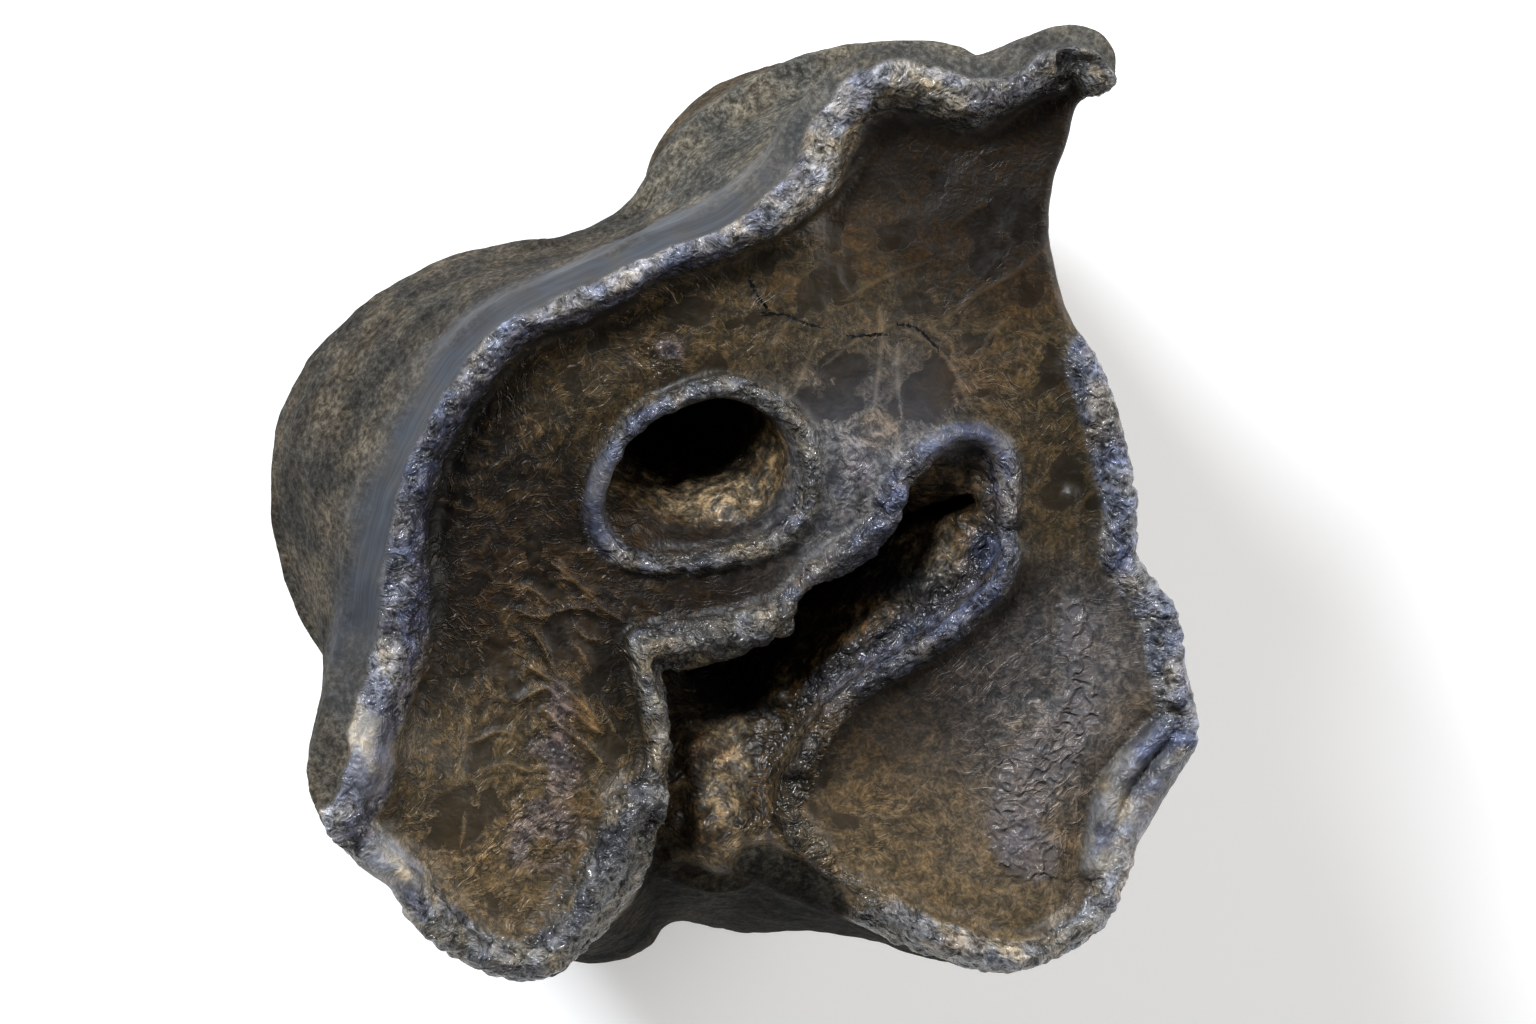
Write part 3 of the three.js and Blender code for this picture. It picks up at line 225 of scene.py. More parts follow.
# the wrinkled, glossy band on the protocone, its bluish grey a painted sheen: half width, line
WRINKLED_BAND = (1.05, [(17.9, -6.5), (18.1, -9.2), (18.2, -11.2), (17.4, -12.9), (16.1, -15), (14.9, -16.8), (14.6, -18.8), (15.4, -20.2)])
CALM_ENAMEL = [((21.8, -16.5), (2.4, 3.6)), ((-22.6, -13.2), (1.8, 2.6)), ((-20.6, -19.6), (2.6, 2)), ((11.3, 3.8), (3.6, 1.3)), ((-9.2, 0.6), (1.2, 3)), ((20.2, -14.5), (2.6, 4.2)), ((18, -19), (3, 2.5))]
FRONT_ENAMEL_FROM_Y = 8.0
PIT_RING = (1.0, 0.75, 0.6)
ROOTS = [  # centre, radii, turn, drift, share at the base
    ((-17, -2), (8.6, 6.2), 62, (0.5, 0.5), 0.8),
    ((5.5, 16), (8.8, 5.8), 32, (0, -0.3), 0.8),
    ((12.8, -18.8), (7.4, 8.2), 10, (-0.4, 0.6), 0.78),
    ((-8.6, -22), (7.2, 5.6), 20, (0.3, 0.6), 0.8),
]


# ---- plane geometry ------------------------------------------------------------------------------
def smooth(points, closed, step=0.35):
    """A centripetal Catmull-Rom curve through the points."""
    p = [np.array(q, float) for q in points]
    n = len(p)
    if not closed:
        p = [2 * p[0] - p[1], *p, 2 * p[-1] - p[-2]]
    out = []
    for i in range(n if closed else n - 1):
        if closed:
            a, b, c, d = p[(i - 1) % n], p[i], p[(i + 1) % n], p[(i + 2) % n]
        else:
            a, b, c, d = p[i], p[i + 1], p[i + 2], p[i + 3]
        t1 = np.linalg.norm(b - a) ** 0.5
        t2 = t1 + np.linalg.norm(c - b) ** 0.5
        t3 = t2 + np.linalg.norm(d - c) ** 0.5
        m = max(2, math.ceil(np.linalg.norm(c - b) / step))
        t = (t1 + (t2 - t1) * np.arange(m) / m)[:, None]
        A1, A2, A3 = (t1 - t) / t1 * a + t / t1 * b, (t2 - t) / (t2 - t1) * b + (t - t1) / (t2 - t1) * c, (t3 - t) / (t3 - t2) * c + (t - t2) / (t3 - t2) * d
        B1, B2 = (t2 - t) / t2 * A1 + t / t2 * A2, (t3 - t) / (t3 - t1) * A2 + (t - t1) / (t3 - t1) * A3
        out.append((t2 - t) / (t2 - t1) * B1 + (t - t1) / (t2 - t1) * B2)
    out = np.concatenate(out)
    return out if closed else np.vstack([out, p[-2]])


def away(line, x, y):
    """Distance from each point to a polyline."""
    best = np.full(x.shape, 1e9)
    for a, b in zip(line[:-1], line[1:]):
        d = b - a
        l = max(float(d @ d), 1e-12)
        t = np.clip(((x - a[0]) * d[0] + (y - a[1]) * d[1]) / l, 0, 1)
        best = np.minimum(best, (x - a[0] - t * d[0]) ** 2 + (y - a[1] - t * d[1]) ** 2)
    return np.sqrt(best)


def signed(loop, x, y):
    ring = np.vstack([loop, loop[:1]])
    odd = np.zeros(x.shape, bool)
    for a, b in zip(ring[:-1], ring[1:]):
        if a[1] != b[1]:
            odd ^= ((a[1] > y) != (b[1] > y)) & (x < (b[0] - a[0]) * (y - a[1]) / (b[1] - a[1]) + a[0])
    return away(ring, x, y) * np.where(odd, -1, 1)


def ease(a, b, v):
    t = np.clip((v - a) / (b - a), 0, 1)
    return t * t * (3 - 2 * t)


def smax(a, b, k):
    h = np.maximum(k - np.abs(a - b), 0) / k
    return np.maximum(a, b) + h * h * k / 4


def smin(a, b, k):
    return -smax(-a, -b, k)


def crest(d, half):
    return np.exp(-((np.abs(d) / half) ** 2.6))


def sound(table, reach, x, y):
    total, weight = np.zeros(x.shape), np.zeros(x.shape)
    for sx, sy, sz in table:
        d = (x - sx) ** 2 + (y - sy) ** 2
        w = np.exp(-d / (2 * reach * reach)) + 1e-4 / (1 + d)
        total += w * sz
        weight += w
    return total / weight


# ---- noise and strokes, all seeded ---------------------------------------------------------------
def noise(x, y, z, scale, seed):
    """Smooth value noise from -1 to 1; scale is the size of a lump in mm."""
    p = [np.asarray(c, float) / scale + 37.7 * (n + 1) + seed * 11.3 for n, c in enumerate((x, y, z))]
    i = [np.floor(c).astype(np.int64) for c in p]
    t = [c - n for c, n in zip(p, i)]
    t = [u * u * u * (u * (u * 6 - 15) + 10) for u in t]
    total = 0.0
    for a in (0, 1):
        for b in (0, 1):
            for c in (0, 1):
                h = ((i[0] + a) * 73856093) ^ ((i[1] + b) * 19349663) ^ ((i[2] + c) * 83492791) ^ (seed * 2654435761)
                h = (h ^ (h >> 13)) & 0xFFFFFFFF
                h = (h * 1274126177) & 0xFFFFFFFF
                h = (h ^ (h >> 16)) & 0xFFFF
                w = (t[0] if a else 1 - t[0]) * (t[1] if b else 1 - t[1]) * (t[2] if c else 1 - t[2])
                total = total + w * (h / 32767.5 - 1)
    return total


def fbm(x, y, z, scale, seed, octaves=3, gain=0.5):
    total, size = 0.0, 1.0
    for n in range(octaves):
        total = total + size * noise(x, y, z, scale / 2**n, seed + 17 * n)
        size *= gain
    return total


# ---- fields in plan ------------------------------------------------------------------------------
FINE = 0.12
LOW, HIGH = (-31.0, -35.0), (30.0, 33.0)
NX, NY = int((HIGH[0] - LOW[0]) / FINE) + 2, int((HIGH[1] - LOW[1]) / FINE) + 2
GX, GY = np.meshgrid(LOW[0] + FINE * np.arange(NX), LOW[1] + FINE * np.arange(NY), indexing="ij")
GZ = np.zeros(GX.shape)


class Plan:
    """A function of the plan position, sampled once and read between the samples."""

    def __init__(self, data):
        self.data = np.ascontiguousarray(data, np.float32)

    def __call__(self, x, y):
        u = np.clip((x - LOW[0]) / FINE, 0, NX - 1.001)
        v = np.clip((y - LOW[1]) / FINE, 0, NY - 1.001)
        i, j = u.astype(np.int32), v.astype(np.int32)
        a, b, d = u - i, v - j, self.data
        return (d[i, j] * (1 - a) + d[i + 1, j] * a) * (1 - b) + (d[i, j + 1] * (1 - a) + d[i + 1, j + 1] * a) * b


def coarse(fn, every=3):
    """A slow function worked out on every third sample and spread smoothly over the rest."""
    x, y = GX[::every, ::every], GY[::every, ::every]
    v = fn(x, y)
    u, w = np.arange(NX) / every, np.arange(NY) / every
    i, j = np.minimum(u.astype(int), v.shape[0] - 2), np.minimum(w.astype(int), v.shape[1] - 2)
    a, b = (u - i)[:, None], (w - j)[None]
    return (v[i][:, j] * (1 - a) + v[i + 1][:, j] * a) * (1 - b) + (v[i][:, j + 1] * (1 - a) + v[i + 1][:, j + 1] * a) * b


def profile(table):
    """A smooth curve through (distance, height) pairs, ready to be read at any distance."""
    t = np.array(table, float)
    fine = smooth([tuple(q) for q in t], False, 0.08)
    order = np.argsort(fine[:, 0])
    return lambda d: np.interp(d, fine[order, 0], fine[order, 1])


def blur(v, reach):
    """Gaussian-like blur of a plan field, reach in mm."""
    n = max(1, int(round(reach / FINE)))
    for _ in range(3):
        for axis in (0, 1):
            pad = np.concatenate([np.repeat(v.take([0], axis), n, axis), v, np.repeat(v.take([-1], axis), n + 1, axis)], axis)
            c = np.cumsum(pad, axis, dtype=float)
            m = v.shape[axis]
            v = (c.take(range(2 * n + 1, 2 * n + 1 + m), axis) - c.take(range(0, m), axis)) / (2 * n + 1)
    return v


def near_line(line, every=2):
    return coarse(lambda x, y: away(smooth(line, False), x, y), every)


rim_loop = smooth([q for run in RIM.values() for q in run], True)
runs = {name: smooth(run, False) for name, run in RIM.items()}
rim_d = coarse(lambda x, y: signed(rim_loop, x, y), 2)
bulge_d = coarse(lambda x, y: signed(smooth(BULGE, True), x, y))
pit_d = coarse(lambda x, y: signed(smooth(PIT, True), x, y), 2)
valley_d = coarse(lambda x, y: signed(smooth(VALLEY, True), x, y), 2)
slit_d = near_line(SLIT)
wander = 0.22 * noise(GX, GY, GZ, 3.1, 1) + 0.14 * noise(GX, GY, GZ, 1.3, 2)  # bands swell and pinch
lumps = 0.5 * noise(GX, GY, GZ, 4.3, 3) + 0.35 * noise(GX, GY, GZ, 1.7, 4)  # crests rise and dip

rise, enamel = np.zeros(GX.shape), np.zeros(GX.shape)
front_run = runs["front"][runs["front"][:, 1] < FRONT_ENAMEL_FROM_Y]
spread = 1 + (REAR_SPREAD - 1) * ease(3, -5, GY)
for line, height, table, start, end in [(runs["cheek"], *CHEEK_RIM), (runs["protocone"], *LOBE_RIM), (runs["hypocone"], *LOBE_RIM), (front_run, *FRONT_RIM)]:
    a = coarse(lambda x, y: away(line, x, y), 2)
    a = np.where(rim_d < 0, a, -a) / (spread if line is runs["cheek"] else 1) + wander
    if line is runs["cheek"]:
        flank = ease(14.5, 18.5, GY) * ease(15, 11, GX)
        a = np.where(a > 1.5, 1.5 + (a - 1.5) / (1 + 0.75 * flank), a)
        cheek_in = a
    if line is runs["protocone"]:
        a = a * (1 + 0.5 * ease(-19, -22, GY) * ease(3, 7, GX))
    rise = np.maximum(rise, height * (1 + 0.1 * lumps) * profile(table)(a))
    enamel = np.maximum(enamel, ease(end + 0.35, end - 0.15, a) * ease(start - 0.3, start + 0.2, a))
shape = crest(pit_d - PIT_RING[1] + 0.6 * wander, PIT_RING[2])
rise = np.maximum(rise, PIT_RING[0] * (1 + 0.3 * lumps) * shape)
enamel = np.maximum(enamel, ease(1.3, 0.9, np.abs(pit_d + 0.6 * wander - PIT_RING[1]) / PIT_RING[2]))
for line, height, half, kind in RIDGES:
    near = near_line(line)
    if kind == "groove":
        rise = rise + height * crest(near, half)
        continue
    rise = np.maximum(rise, height * (1 + (0.3 if kind == "rough" else 0.1) * lumps) * crest(near + (0.8 if kind == "rough" else 0.3) * wander, half))
    if kind != "bead":
        enamel = np.maximum(enamel, ease(1.3, 0.9, (near + 0.6 * wander) / half))
lip = np.minimum(valley_d, slit_d - SLIT_HALF_WIDTH)
enamel = np.maximum(enamel, ease(1.15, 0.75, lip + wander) * ease(-19.6, -18.4, GY))
base_z = coarse(lambda x, y: sound(DENTINE, DENTINE_REACH, x, y)) + 0.16 * noise(GX, GY, GZ, 5.5, 5) + 0.1 * noise(GX, GY, GZ, 2.6, 6)


def strokes(groups):
    """Short, slightly bent raised lines, as of fibres and roots etched on the surface: 0 to 1."""
    field = np.zeros(GX.shape)
    rng = np.random.default_rng(7)
    for (cx, cy), (rx, ry), angle, spread, count, (l0, l1), width, strength in groups:
        for _ in range(count):
            r, t = math.sqrt(rng.random()), rng.random() * 2 * math.pi
            px, py = cx + rx * r * math.cos(t), cy + ry * r * math.sin(t)
            a = math.radians(angle + spread * rng.normal())
            length, bend, w = l0 + (l1 - l0) * rng.random() ** 1.6, rng.normal() * 0.12, width * (0.7 + 0.6 * rng.random())
            h = strength * (0.5 + 0.5 * rng.random())
            reach = length / 2 + 3 * w
            i0, i1 = int((px - reach - LOW[0]) / FINE), int((px + reach - LOW[0]) / FINE) + 2
            j0, j1 = int((py - reach - LOW[1]) / FINE), int((py + reach - LOW[1]) / FINE) + 2
            if i0 < 0 or j0 < 0 or i1 >= NX or j1 >= NY:
                continue
            dx, dy = GX[i0:i1, j0:j1] - px, GY[i0:i1, j0:j1] - py
            u, v = dx * math.cos(a) + dy * math.sin(a), -dx * math.sin(a) + dy * math.cos(a)
            v = v - bend * u * u + 0.1 * np.sin(u * 2.3 + t)
            along = np.clip(1 - (np.abs(u) / (length / 2)) ** 3, 0, 1)
            field[i0:i1, j0:j1] = np.maximum(field[i0:i1, j0:j1], h * along * np.exp(-((v / w) ** 2)))
    return field


fibre = strokes(FIBRES) * (1 - enamel)
long_rise = np.zeros(GX.shape)
for half, height, line in LONG_FIBRES:
    pts = smooth(line, False)
    (x0, y0), (x1, y1) = pts.min(0) - 1.2, pts.max(0) + 1.2
    cut = np.s_[int((x0 - LOW[0]) / FINE) : int((x1 - LOW[0]) / FINE) + 1, int((y0 - LOW[1]) / FINE) : int((y1 - LOW[1]) / FINE) + 1]
    long_rise[cut] = np.maximum(long_rise[cut], height * np.exp(-((away(pts, GX[cut], GY[cut]) / half) ** 2)))
face_z = base_z + rise + 0.1 * fibre + 0.8 * (1 - enamel) * long_rise
F = {name: Plan(v) for name, v in dict(rim=rim_d, bulge=bulge_d, pit=pit_d, valley=valley_d, slit=slit_d, face=face_z, enamel=enamel, cheek=cheek_in, fibre=fibre, slope=ease(2.1, 1.3, near_line(RIDGES[1][0])), hollow=blur(face_z, 0.9) - face_z).items()}
F["pit_floor"] = Plan(coarse(lambda x, y: sound(PIT_FLOOR, FLOOR_REACH, x, y)) + 0.3 * noise(GX, GY, GZ, 1.6, 11) + 0.15 * noise(GX, GY, GZ, 0.7, 12))
F["floor"] = Plan(coarse(lambda x, y: sound(VALLEY_FLOOR, FLOOR_REACH, x, y)) + 0.5 * noise(GX, GY, GZ, 2.2, 9) + 0.25 * noise(GX, GY, GZ, 1.0, 10))


# ---- the solid: negative inside ------------------------------------------------------------------
def stump(root, x, y, z):
    (cx, cy), r, turn, drift, share = root
    t = np.clip(1 - z / 18, -0.2, 1)
    c, s = math.cos(math.radians(turn)), math.sin(math.radians(turn))
    dx, dy, k = x - cx - drift[0] * t * 3, y - cy - drift[1] * t * 3, 1 - (1 - share) * t
    u, v = (dx * c + dy * s) / (r[0] * k), (-dx * s + dy * c) / (r[1] * k)
    return (np.hypot(u, v) - 1) * min(r) * k


def solid(x, y, z):
    g0 = float(ease(-0.35, 1, 0.0))
    share = np.clip((ease(-0.35, 1, (FACE_Z - z) / (FACE_Z - BULGE_Z)) - g0) / (1 - g0), 0, 1)
    bulge = F["bulge"](x, y)
    f = F["rim"](x, y) * (1 - share) + bulge * share + WALL_INSET_AT_NECK * ease(BULGE_Z, 8, z)
    f = smax(f, z - F["face"](x, y), RIM_ROUNDING)
    deep = FACE_Z - z
    pit = smax(F["pit"](x - PIT_LEAN[0] * deep, y - PIT_LEAN[1] * deep) + PIT_TAPER * deep, F["pit_floor"](x, y) - z, 0.8)
    f = smax(f, -pit, 0.5)
    f = smax(f, -smax(F["valley"](x, y), F["floor"](x, y) - z, 0.8), 0.5)
    f = smax(f, -smax(F["slit"](x, y) - SLIT_HALF_WIDTH + 0.03 * deep, SLIT_FLOOR_Z - z, 1.5), 0.4)
    f = smax(f, CROWN_BELOW_Z + 5 * np.clip(-bulge / 16, 0, 1) - z, 2.5)
    roots = np.minimum.reduce([stump(r, x, y, z) for r in ROOTS])
    f = smin(f, np.maximum(roots, z - 22), 3)
    return np.maximum(f, -z)


# ---- its skin, by surface nets on a grid that is finer in height on the chewing face --------------
def skin():
    xs = np.arange(-28.5, 27.5, STEP)
    ys = np.arange(-32.5, 30.5, STEP)
    zs = np.concatenate([np.arange(-1.0, 36, STEP_WALL), np.arange(36, 54, STEP_FACE)])
    X, Y = np.meshgrid(xs, ys, indexing="ij")
    V = np.empty((len(xs), len(ys), len(zs)), np.float32)
    for k, z in enumerate(zs):
        V[:, :, k] = solid(X, Y, z)
    inside = V < 0
    n = tuple(s - 1 for s in V.shape)
    mixed = np.zeros(n, np.int8)
    for i in (0, 1):
        for j in (0, 1):
            for k in (0, 1):
                mixed += inside[i : i + n[0], j : j + n[1], k : k + n[2]]
    cells = np.argwhere((mixed > 0) & (mixed < 8))
    ids = np.full(n, -1, np.int32)
    ids[tuple(cells.T)] = np.arange(len(cells))
    corner = np.array([[i, j, k] for i in (0, 1) for j in (0, 1) for k in (0, 1)])
    at = cells[:, None] + corner[None]
    val = V[at[..., 0], at[..., 1], at[..., 2]]
    pos = np.stack([xs[at[..., 0]], ys[at[..., 1]], zs[at[..., 2]]], -1)
    total, count = np.zeros((len(cells), 3)), np.zeros(len(cells))
    for a in range(8):
        for b in range(a + 1, 8):
            if np.abs(corner[a] - corner[b]).sum() == 1:
                cutting = (val[:, a] < 0) != (val[:, b] < 0)
                t = val[:, a] / np.where(cutting, val[:, a] - val[:, b], 1)
                p = pos[:, a] + t[:, None] * (pos[:, b] - pos[:, a])
                total += np.where(cutting[:, None], p, 0)
                count += cutting
    verts = total / count[:, None]
    quads = []
    for axis in range(3):
        lo = [slice(1, -1)] * 3
        lo[axis] = slice(0, -1)
        hi = list(lo)
        hi[axis] = slice(1, None)
        a, b = inside[tuple(lo)], inside[tuple(hi)]
        e = np.argwhere(a != b)
        out = a[tuple(e.T)]  # inside below, outside above
        e += np.array([1 if m != axis else 0 for m in range(3)])
        u, w = [(1, 2), (2, 0), (0, 1)][axis]
        du, dw = np.eye(3, dtype=int)[u], np.eye(3, dtype=int)[w]
        q = np.stack([ids[tuple((e - du - dw).T)], ids[tuple((e - dw).T)], ids[tuple(e.T)], ids[tuple((e - du).T)]], 1)
        q[~out] = q[~out][:, ::-1]
        quads.append(q)
    return verts, np.concatenate(quads)


def gradient(x, y, z, h=0.06):
    g = np.stack([solid(x + h, y, z) - solid(x - h, y, z), solid(x, y + h, z) - solid(x, y - h, z), solid(x, y, z + h) - solid(x, y, z - h)], -1) / (2 * h)
    return g


verts, quads = skin()
for _ in range(2):
    f = solid(*verts.T)
    g = gradient(*verts.T)
    l2 = np.maximum((g * g).sum(1), 0.25)
    step = (f / l2)[:, None] * g
    length = np.linalg.norm(step, axis=1)[:, None]
    verts = verts - step * np.minimum(1, 0.15 / np.maximum(length, 1e-9))
verts[:, 2] = np.where(verts[:, 2] < 0.1, 0, verts[:, 2])

# where the solids' box is centred, so that the skin meets it
lo, hi = verts.min(0), verts.max(0)
SHIFT = np.array([-(lo[0] + hi[0]) / 2, -(lo[1] + hi[1]) / 2, 0.0])
print("skin", len(verts), len(quads), "shift", SHIFT, "box", lo + SHIFT, hi + SHIFT)

mesh = bpy.data.meshes.new("tooth")
mesh.from_pydata(((verts + SHIFT) / 1000).tolist(), [], quads.tolist())
mesh.update()
tooth = bpy.data.objects.new("tooth", mesh)
bpy.context.collection.objects.link(tooth)
mesh.polygons.foreach_set("use_smooth", np.ones(len(quads), bool))

# ---- surface detail ------------------------------------------------------------------------------
x, y, z = verts.T
g = gradient(x, y, z, 0.12)
normal = g / np.maximum(np.linalg.norm(g, axis=1), 1e-9)[:, None]
below = F["face"](x, y) - z
rim_in = -F["rim"](x, y)
hole = ease(0.5, 2.0, below) * np.maximum(ease(1.6, 0.3, F["pit"](x, y)), ease(1.2, 0.0, np.minimum(F["valley"](x, y), F["slit"](x, y) - SLIT_HALF_WIDTH))) * ease(30, 34, z) * ease(-0.2, 0.5, rim_in)
lip_side = ease(1.3, 0.6, rim_in) * ease(-2.5, -1, x) * ease(6, 4.5, x) * ease(-19.0, -19.8, y)  # the lingual wall comes up to the valley here
bevel = ease(1.15, 0.9, F["cheek"](x, y)) * ease(-9, -7, F["cheek"](x, y))  # the smooth outer side of the cheek crest
slope = F["slope"](x, y) * ease(42.6, 44.4, z) * hole  # the enamelled valley side of the front loph
hole = hole * (1 - slope) * (1 - lip_side)
top = np.maximum(ease(2.6, 0.9, below) * (1 - hole) * (1 - bevel), slope) * (1 - lip_side)
wall = np.clip(1 - top - hole, 0, 1)
rooty = ease(17, 11, z)
under = rooty * ease(-0.2, -0.7, normal[:, 2])
en = np.maximum(F["enamel"](x, y) * top, slope)
crusty = np.exp(-(((x + 1.5) / 6) ** 2 + ((y + 7.1) / 1.8) ** 2)) * top

# relief in the mesh, from a millimetre down to what the mesh can hold
grain = np.abs(noise(x, y, z, 1.3, 21)) + 0.6 * np.abs(noise(x, y, z, 0.65, 22))
calm = np.zeros(len(x))
for (cx, cy), (rx, ry) in CALM_ENAMEL:
    calm = np.maximum(calm, ease(1.2, 0.7, np.hypot((x - cx) / rx, (y - cy) / ry)))
move = en * (1 - 0.75 * calm) * (0.26 * (grain - 0.5) + 0.08 * noise(x, y, z, 0.45, 23)) + crusty * 0.25 * (grain - 0.4)
move += (1 - en) * top * (0.05 * fbm(x, y, z, 1.3, 24, 2))
move += hole * (0.9 * np.exp(-((x + 2.1) ** 2 + (y + 18.6) ** 2) / 1.7) + 0.16 * fbm(x, y, z, 1.5, 25, 3) + 0.05 * noise(x, y, z, 0.5, 26))
move += wall * (1 - rooty) * (0.2 * noise(x, y, z, 6.5, 27) + 0.1 * fbm(x, y, z, 2.2, 28, 3) + 0.03 * noise(x, y, z, 0.9, 29))
for (cx, cy, cz), r, h in WALL_MARKS:
    move += h * np.exp(-((x - cx) ** 2 + (y - cy) ** 2 + (z - cz) ** 2) / (r * r))
lines = z + 0.35 * noise(x, y, z * 0.3, 6, 30)
front = ease(10, 4, y) * ease(14, 20, x)
move += wall * (1 - rooty) * 0.03 * front * np.sin(lines * 2 * math.pi / 1.1)
move += rooty * (0.2 * fbm(x, y, z * 0.5, 3.0, 31, 3) + 0.05 * noise(x, y, z, 0.5, 32)) * ease(0.0, 1.5, z)
move += under * 0.25 * fbm(x, y, z, 1.4, 33, 2) * ease(0.3, 2.0, z)
skin_verts = verts + normal * move[:, None]
skin_verts[:, 2] = np.where(verts[:, 2] < 0.05, 0, np.maximum(skin_verts[:, 2], 0))
mesh.vertices.foreach_set("co", ((skin_verts + SHIFT) / 1000).astype(np.float32).ravel())
mesh.update()


# ---- colour, painted from soundings and noise, with painted shade, sheen and highlights in places ---
def lin(r, g, b):
    c = np.array([r, g, b], float) / 255
    return np.where(c <= 0.04045, c / 12.92, ((c + 0.055) / 1.055) ** 2.4)


def blend(table, reach, size):
    total, weight = np.zeros((len(x), size)), np.zeros(len(x))
    for (cx, cy), value in table:
        w = np.exp(-((x - cx) ** 2 + (y - cy) ** 2) / (2 * reach**2)) + 1e-5
        total += w[:, None] * np.reshape(value, (1, -1))
        weight += w
    return total / weight[:, None]


def mix(base, colour, share):
    return base * (1 - share[:, None]) + np.asarray(colour) * share[:, None]


tint = blend([(at, lin(*TONES[tone])) for at, tone in DENTINE_TINT], 3.6, 3)
patch = 1.3 * (fbm(x + 0.3 * y, y - 0.3 * x, z, 1.7, 41, 3) - 0.62) - 2 * ease(5, 8, x) * ease(0, -4, y)  # dark smooth patches, in mm inside their borders
for (cx, cy), (rx, ry) in SMOOTH_PATCHES:
    patch = np.maximum(patch, (1 - np.hypot((x - cx) / rx, (y - cy) / ry) - 0.5 * fbm(x + 0.4 * y, y - 0.4 * x, z, 1.0, 59, 3)) * min(rx, ry))
brown = np.zeros(len(x))
for (cx, cy), (rx, ry) in BROWN_PATCHES:
    brown = np.maximum(brown, ease(1.25, 0.7, np.hypot((x - cx) / rx, (y - cy) / ry) + 0.35 * fbm(x, y, z, 1.1, 62, 2)))
tint = mix(tint, tint * np.array([1.3, 1.12, 0.95]), 0.8 * brown)
tint = mix(tint, tint * np.array([1.4, 1.25, 1.05]), 0.5 * ease(0.1, 0.6, fbm(x, y, z, 1.7, 42, 3)))
fibrous = np.clip(blend([(at, (v,)) for at, v in FIBROUS], 2.4, 1)[:, 0] + 0.25 * noise(x, y, z, 2.2, 58), 0.05, 1)
fibres = np.clip(F["fibre"](x, y), 0, 1) * top * fibrous
tint = mix(tint, tint * 1.2 + lin(70, 56, 38), 0.6 * fibres)
e_col = blend([(at, lin(*TONES[tone])) for at, tone in ENAMEL_TINT], 4.0, 3)
e_col = e_col * (1 + 0.45 * fbm(x, y, z, 1.3, 43, 3)[:, None])
e_col = mix(e_col, e_col * np.array([1.45, 1.25, 0.95]), 0.7 * ease(0.1, 0.5, fbm(x, y, z, 1.6, 45, 3)))
e_col = mix(e_col, e_col * np.array([0.6, 0.62, 0.75]), 0.8 * ease(0.1, 0.5, fbm(x, y, z, 1.9, 46, 3)))
facet = np.exp(-(((x - 23.4) / 1.1) ** 2) - ((y + 17) / 2.4) ** 2)  # a dark bluish patch on the outer side of the protocone
e_col = mix(e_col, lin(40, 44, 52), 0.85 * facet)
tint = tint * (1 - en[:, None]) + e_col * en[:, None]
w_col = blend([(at, lin(*TONES[tone])) for at, tone in WALL_TINT], 6.0, 3)
# lower down no wall is darker than a dark grey-brown; higher up the tongue side keeps its painted shade
w_col = np.maximum(w_col, lin(48, 45, 38) * ease(40, 28, z)[:, None])
w_col = w_col * (1 + 0.25 * fbm(x, y, z, 5, 47, 3)[:, None])
w_col = mix(w_col, w_col * np.array([0.55, 0.52, 0.48]), 0.6 * ease(0.1, 0.7, fbm(x, y, z, 3.2, 48, 3)))
# painted sheen: the wall beside the cheek crest is tinted a bluish grey that stands in for its reflection of the light;
# its fine growth lines are real
cheek_painted_sheen = ease(-0.9, 0.6, F["cheek"](x, y) + 0.45 * noise(x, y, z, 2.5, 55)) * ease(7, 2, below) * ease(-15, -4, y) * (1 - 0.75 * ease(-2, 3, x))
w_col = mix(w_col, lin(62, 65, 71), 0.85 * cheek_painted_sheen)
tint = tint * (1 - wall[:, None]) + w_col * wall[:, None]
h_col = lin(*HOLE_TINT) * (1 + 0.35 * fbm(x, y, z, 1.2, 49, 3)[:, None])
# painted shade: the hollows' colour darkens with depth
h_col = mix(h_col, lin(36, 32, 25), ease(46.3, 41.5, z))
for (cx, cy), (rx, ry), tone in HOLLOW_TINT:
    near = ease(1.2, 0.6, np.hypot((x - cx) / rx, (y - cy) / ry) + 0.3 * fbm(x, y, z, 1.2, 64, 2))
    h_col = mix(h_col, lin(*TONES[tone]) * (1 + 0.35 * noise(x, y, z, 0.8, 65)[:, None]), 0.85 * near)
h_col = mix(h_col, lin(96, 66, 30), 0.5 * ease(0.2, 0.6, fbm(x, y, z, 1.1, 50, 2)) * ease(42.5, 44, z) * ease(-3, -7, y) * ease(-17, -14, y))
h_col = mix(h_col, lin(40, 42, 42), np.exp(-(((x - 8.6) / 3) ** 2 + ((y + 5) / 1.6) ** 2)))
tint = tint * (1 - hole[:, None]) + h_col * hole[:, None]
r_col = lin(*ROOT_TINT) * (1 + 0.3 * fbm(x, y, z, 3, 51, 3)[:, None])
tint = tint * (1 - rooty[:, None] * (1 - hole[:, None])) + r_col * rooty[:, None] * (1 - hole[:, None])
# painted shade: the face is darkened in its hollows, less so in front and beside the pit
hollow = np.clip(F["hollow"](x, y) / 0.5, 0, 1) * top * (1 - 0.7 * ease(1, 5, x) * ease(13, 17, y)) * (1 - 0.6 * np.exp(-(((x + 4) / 5) ** 2) - ((y + 3.4) / 1.8) ** 2))
tint = mix(tint, tint * np.array([0.4, 0.36, 0.3]), 0.6 * hollow)
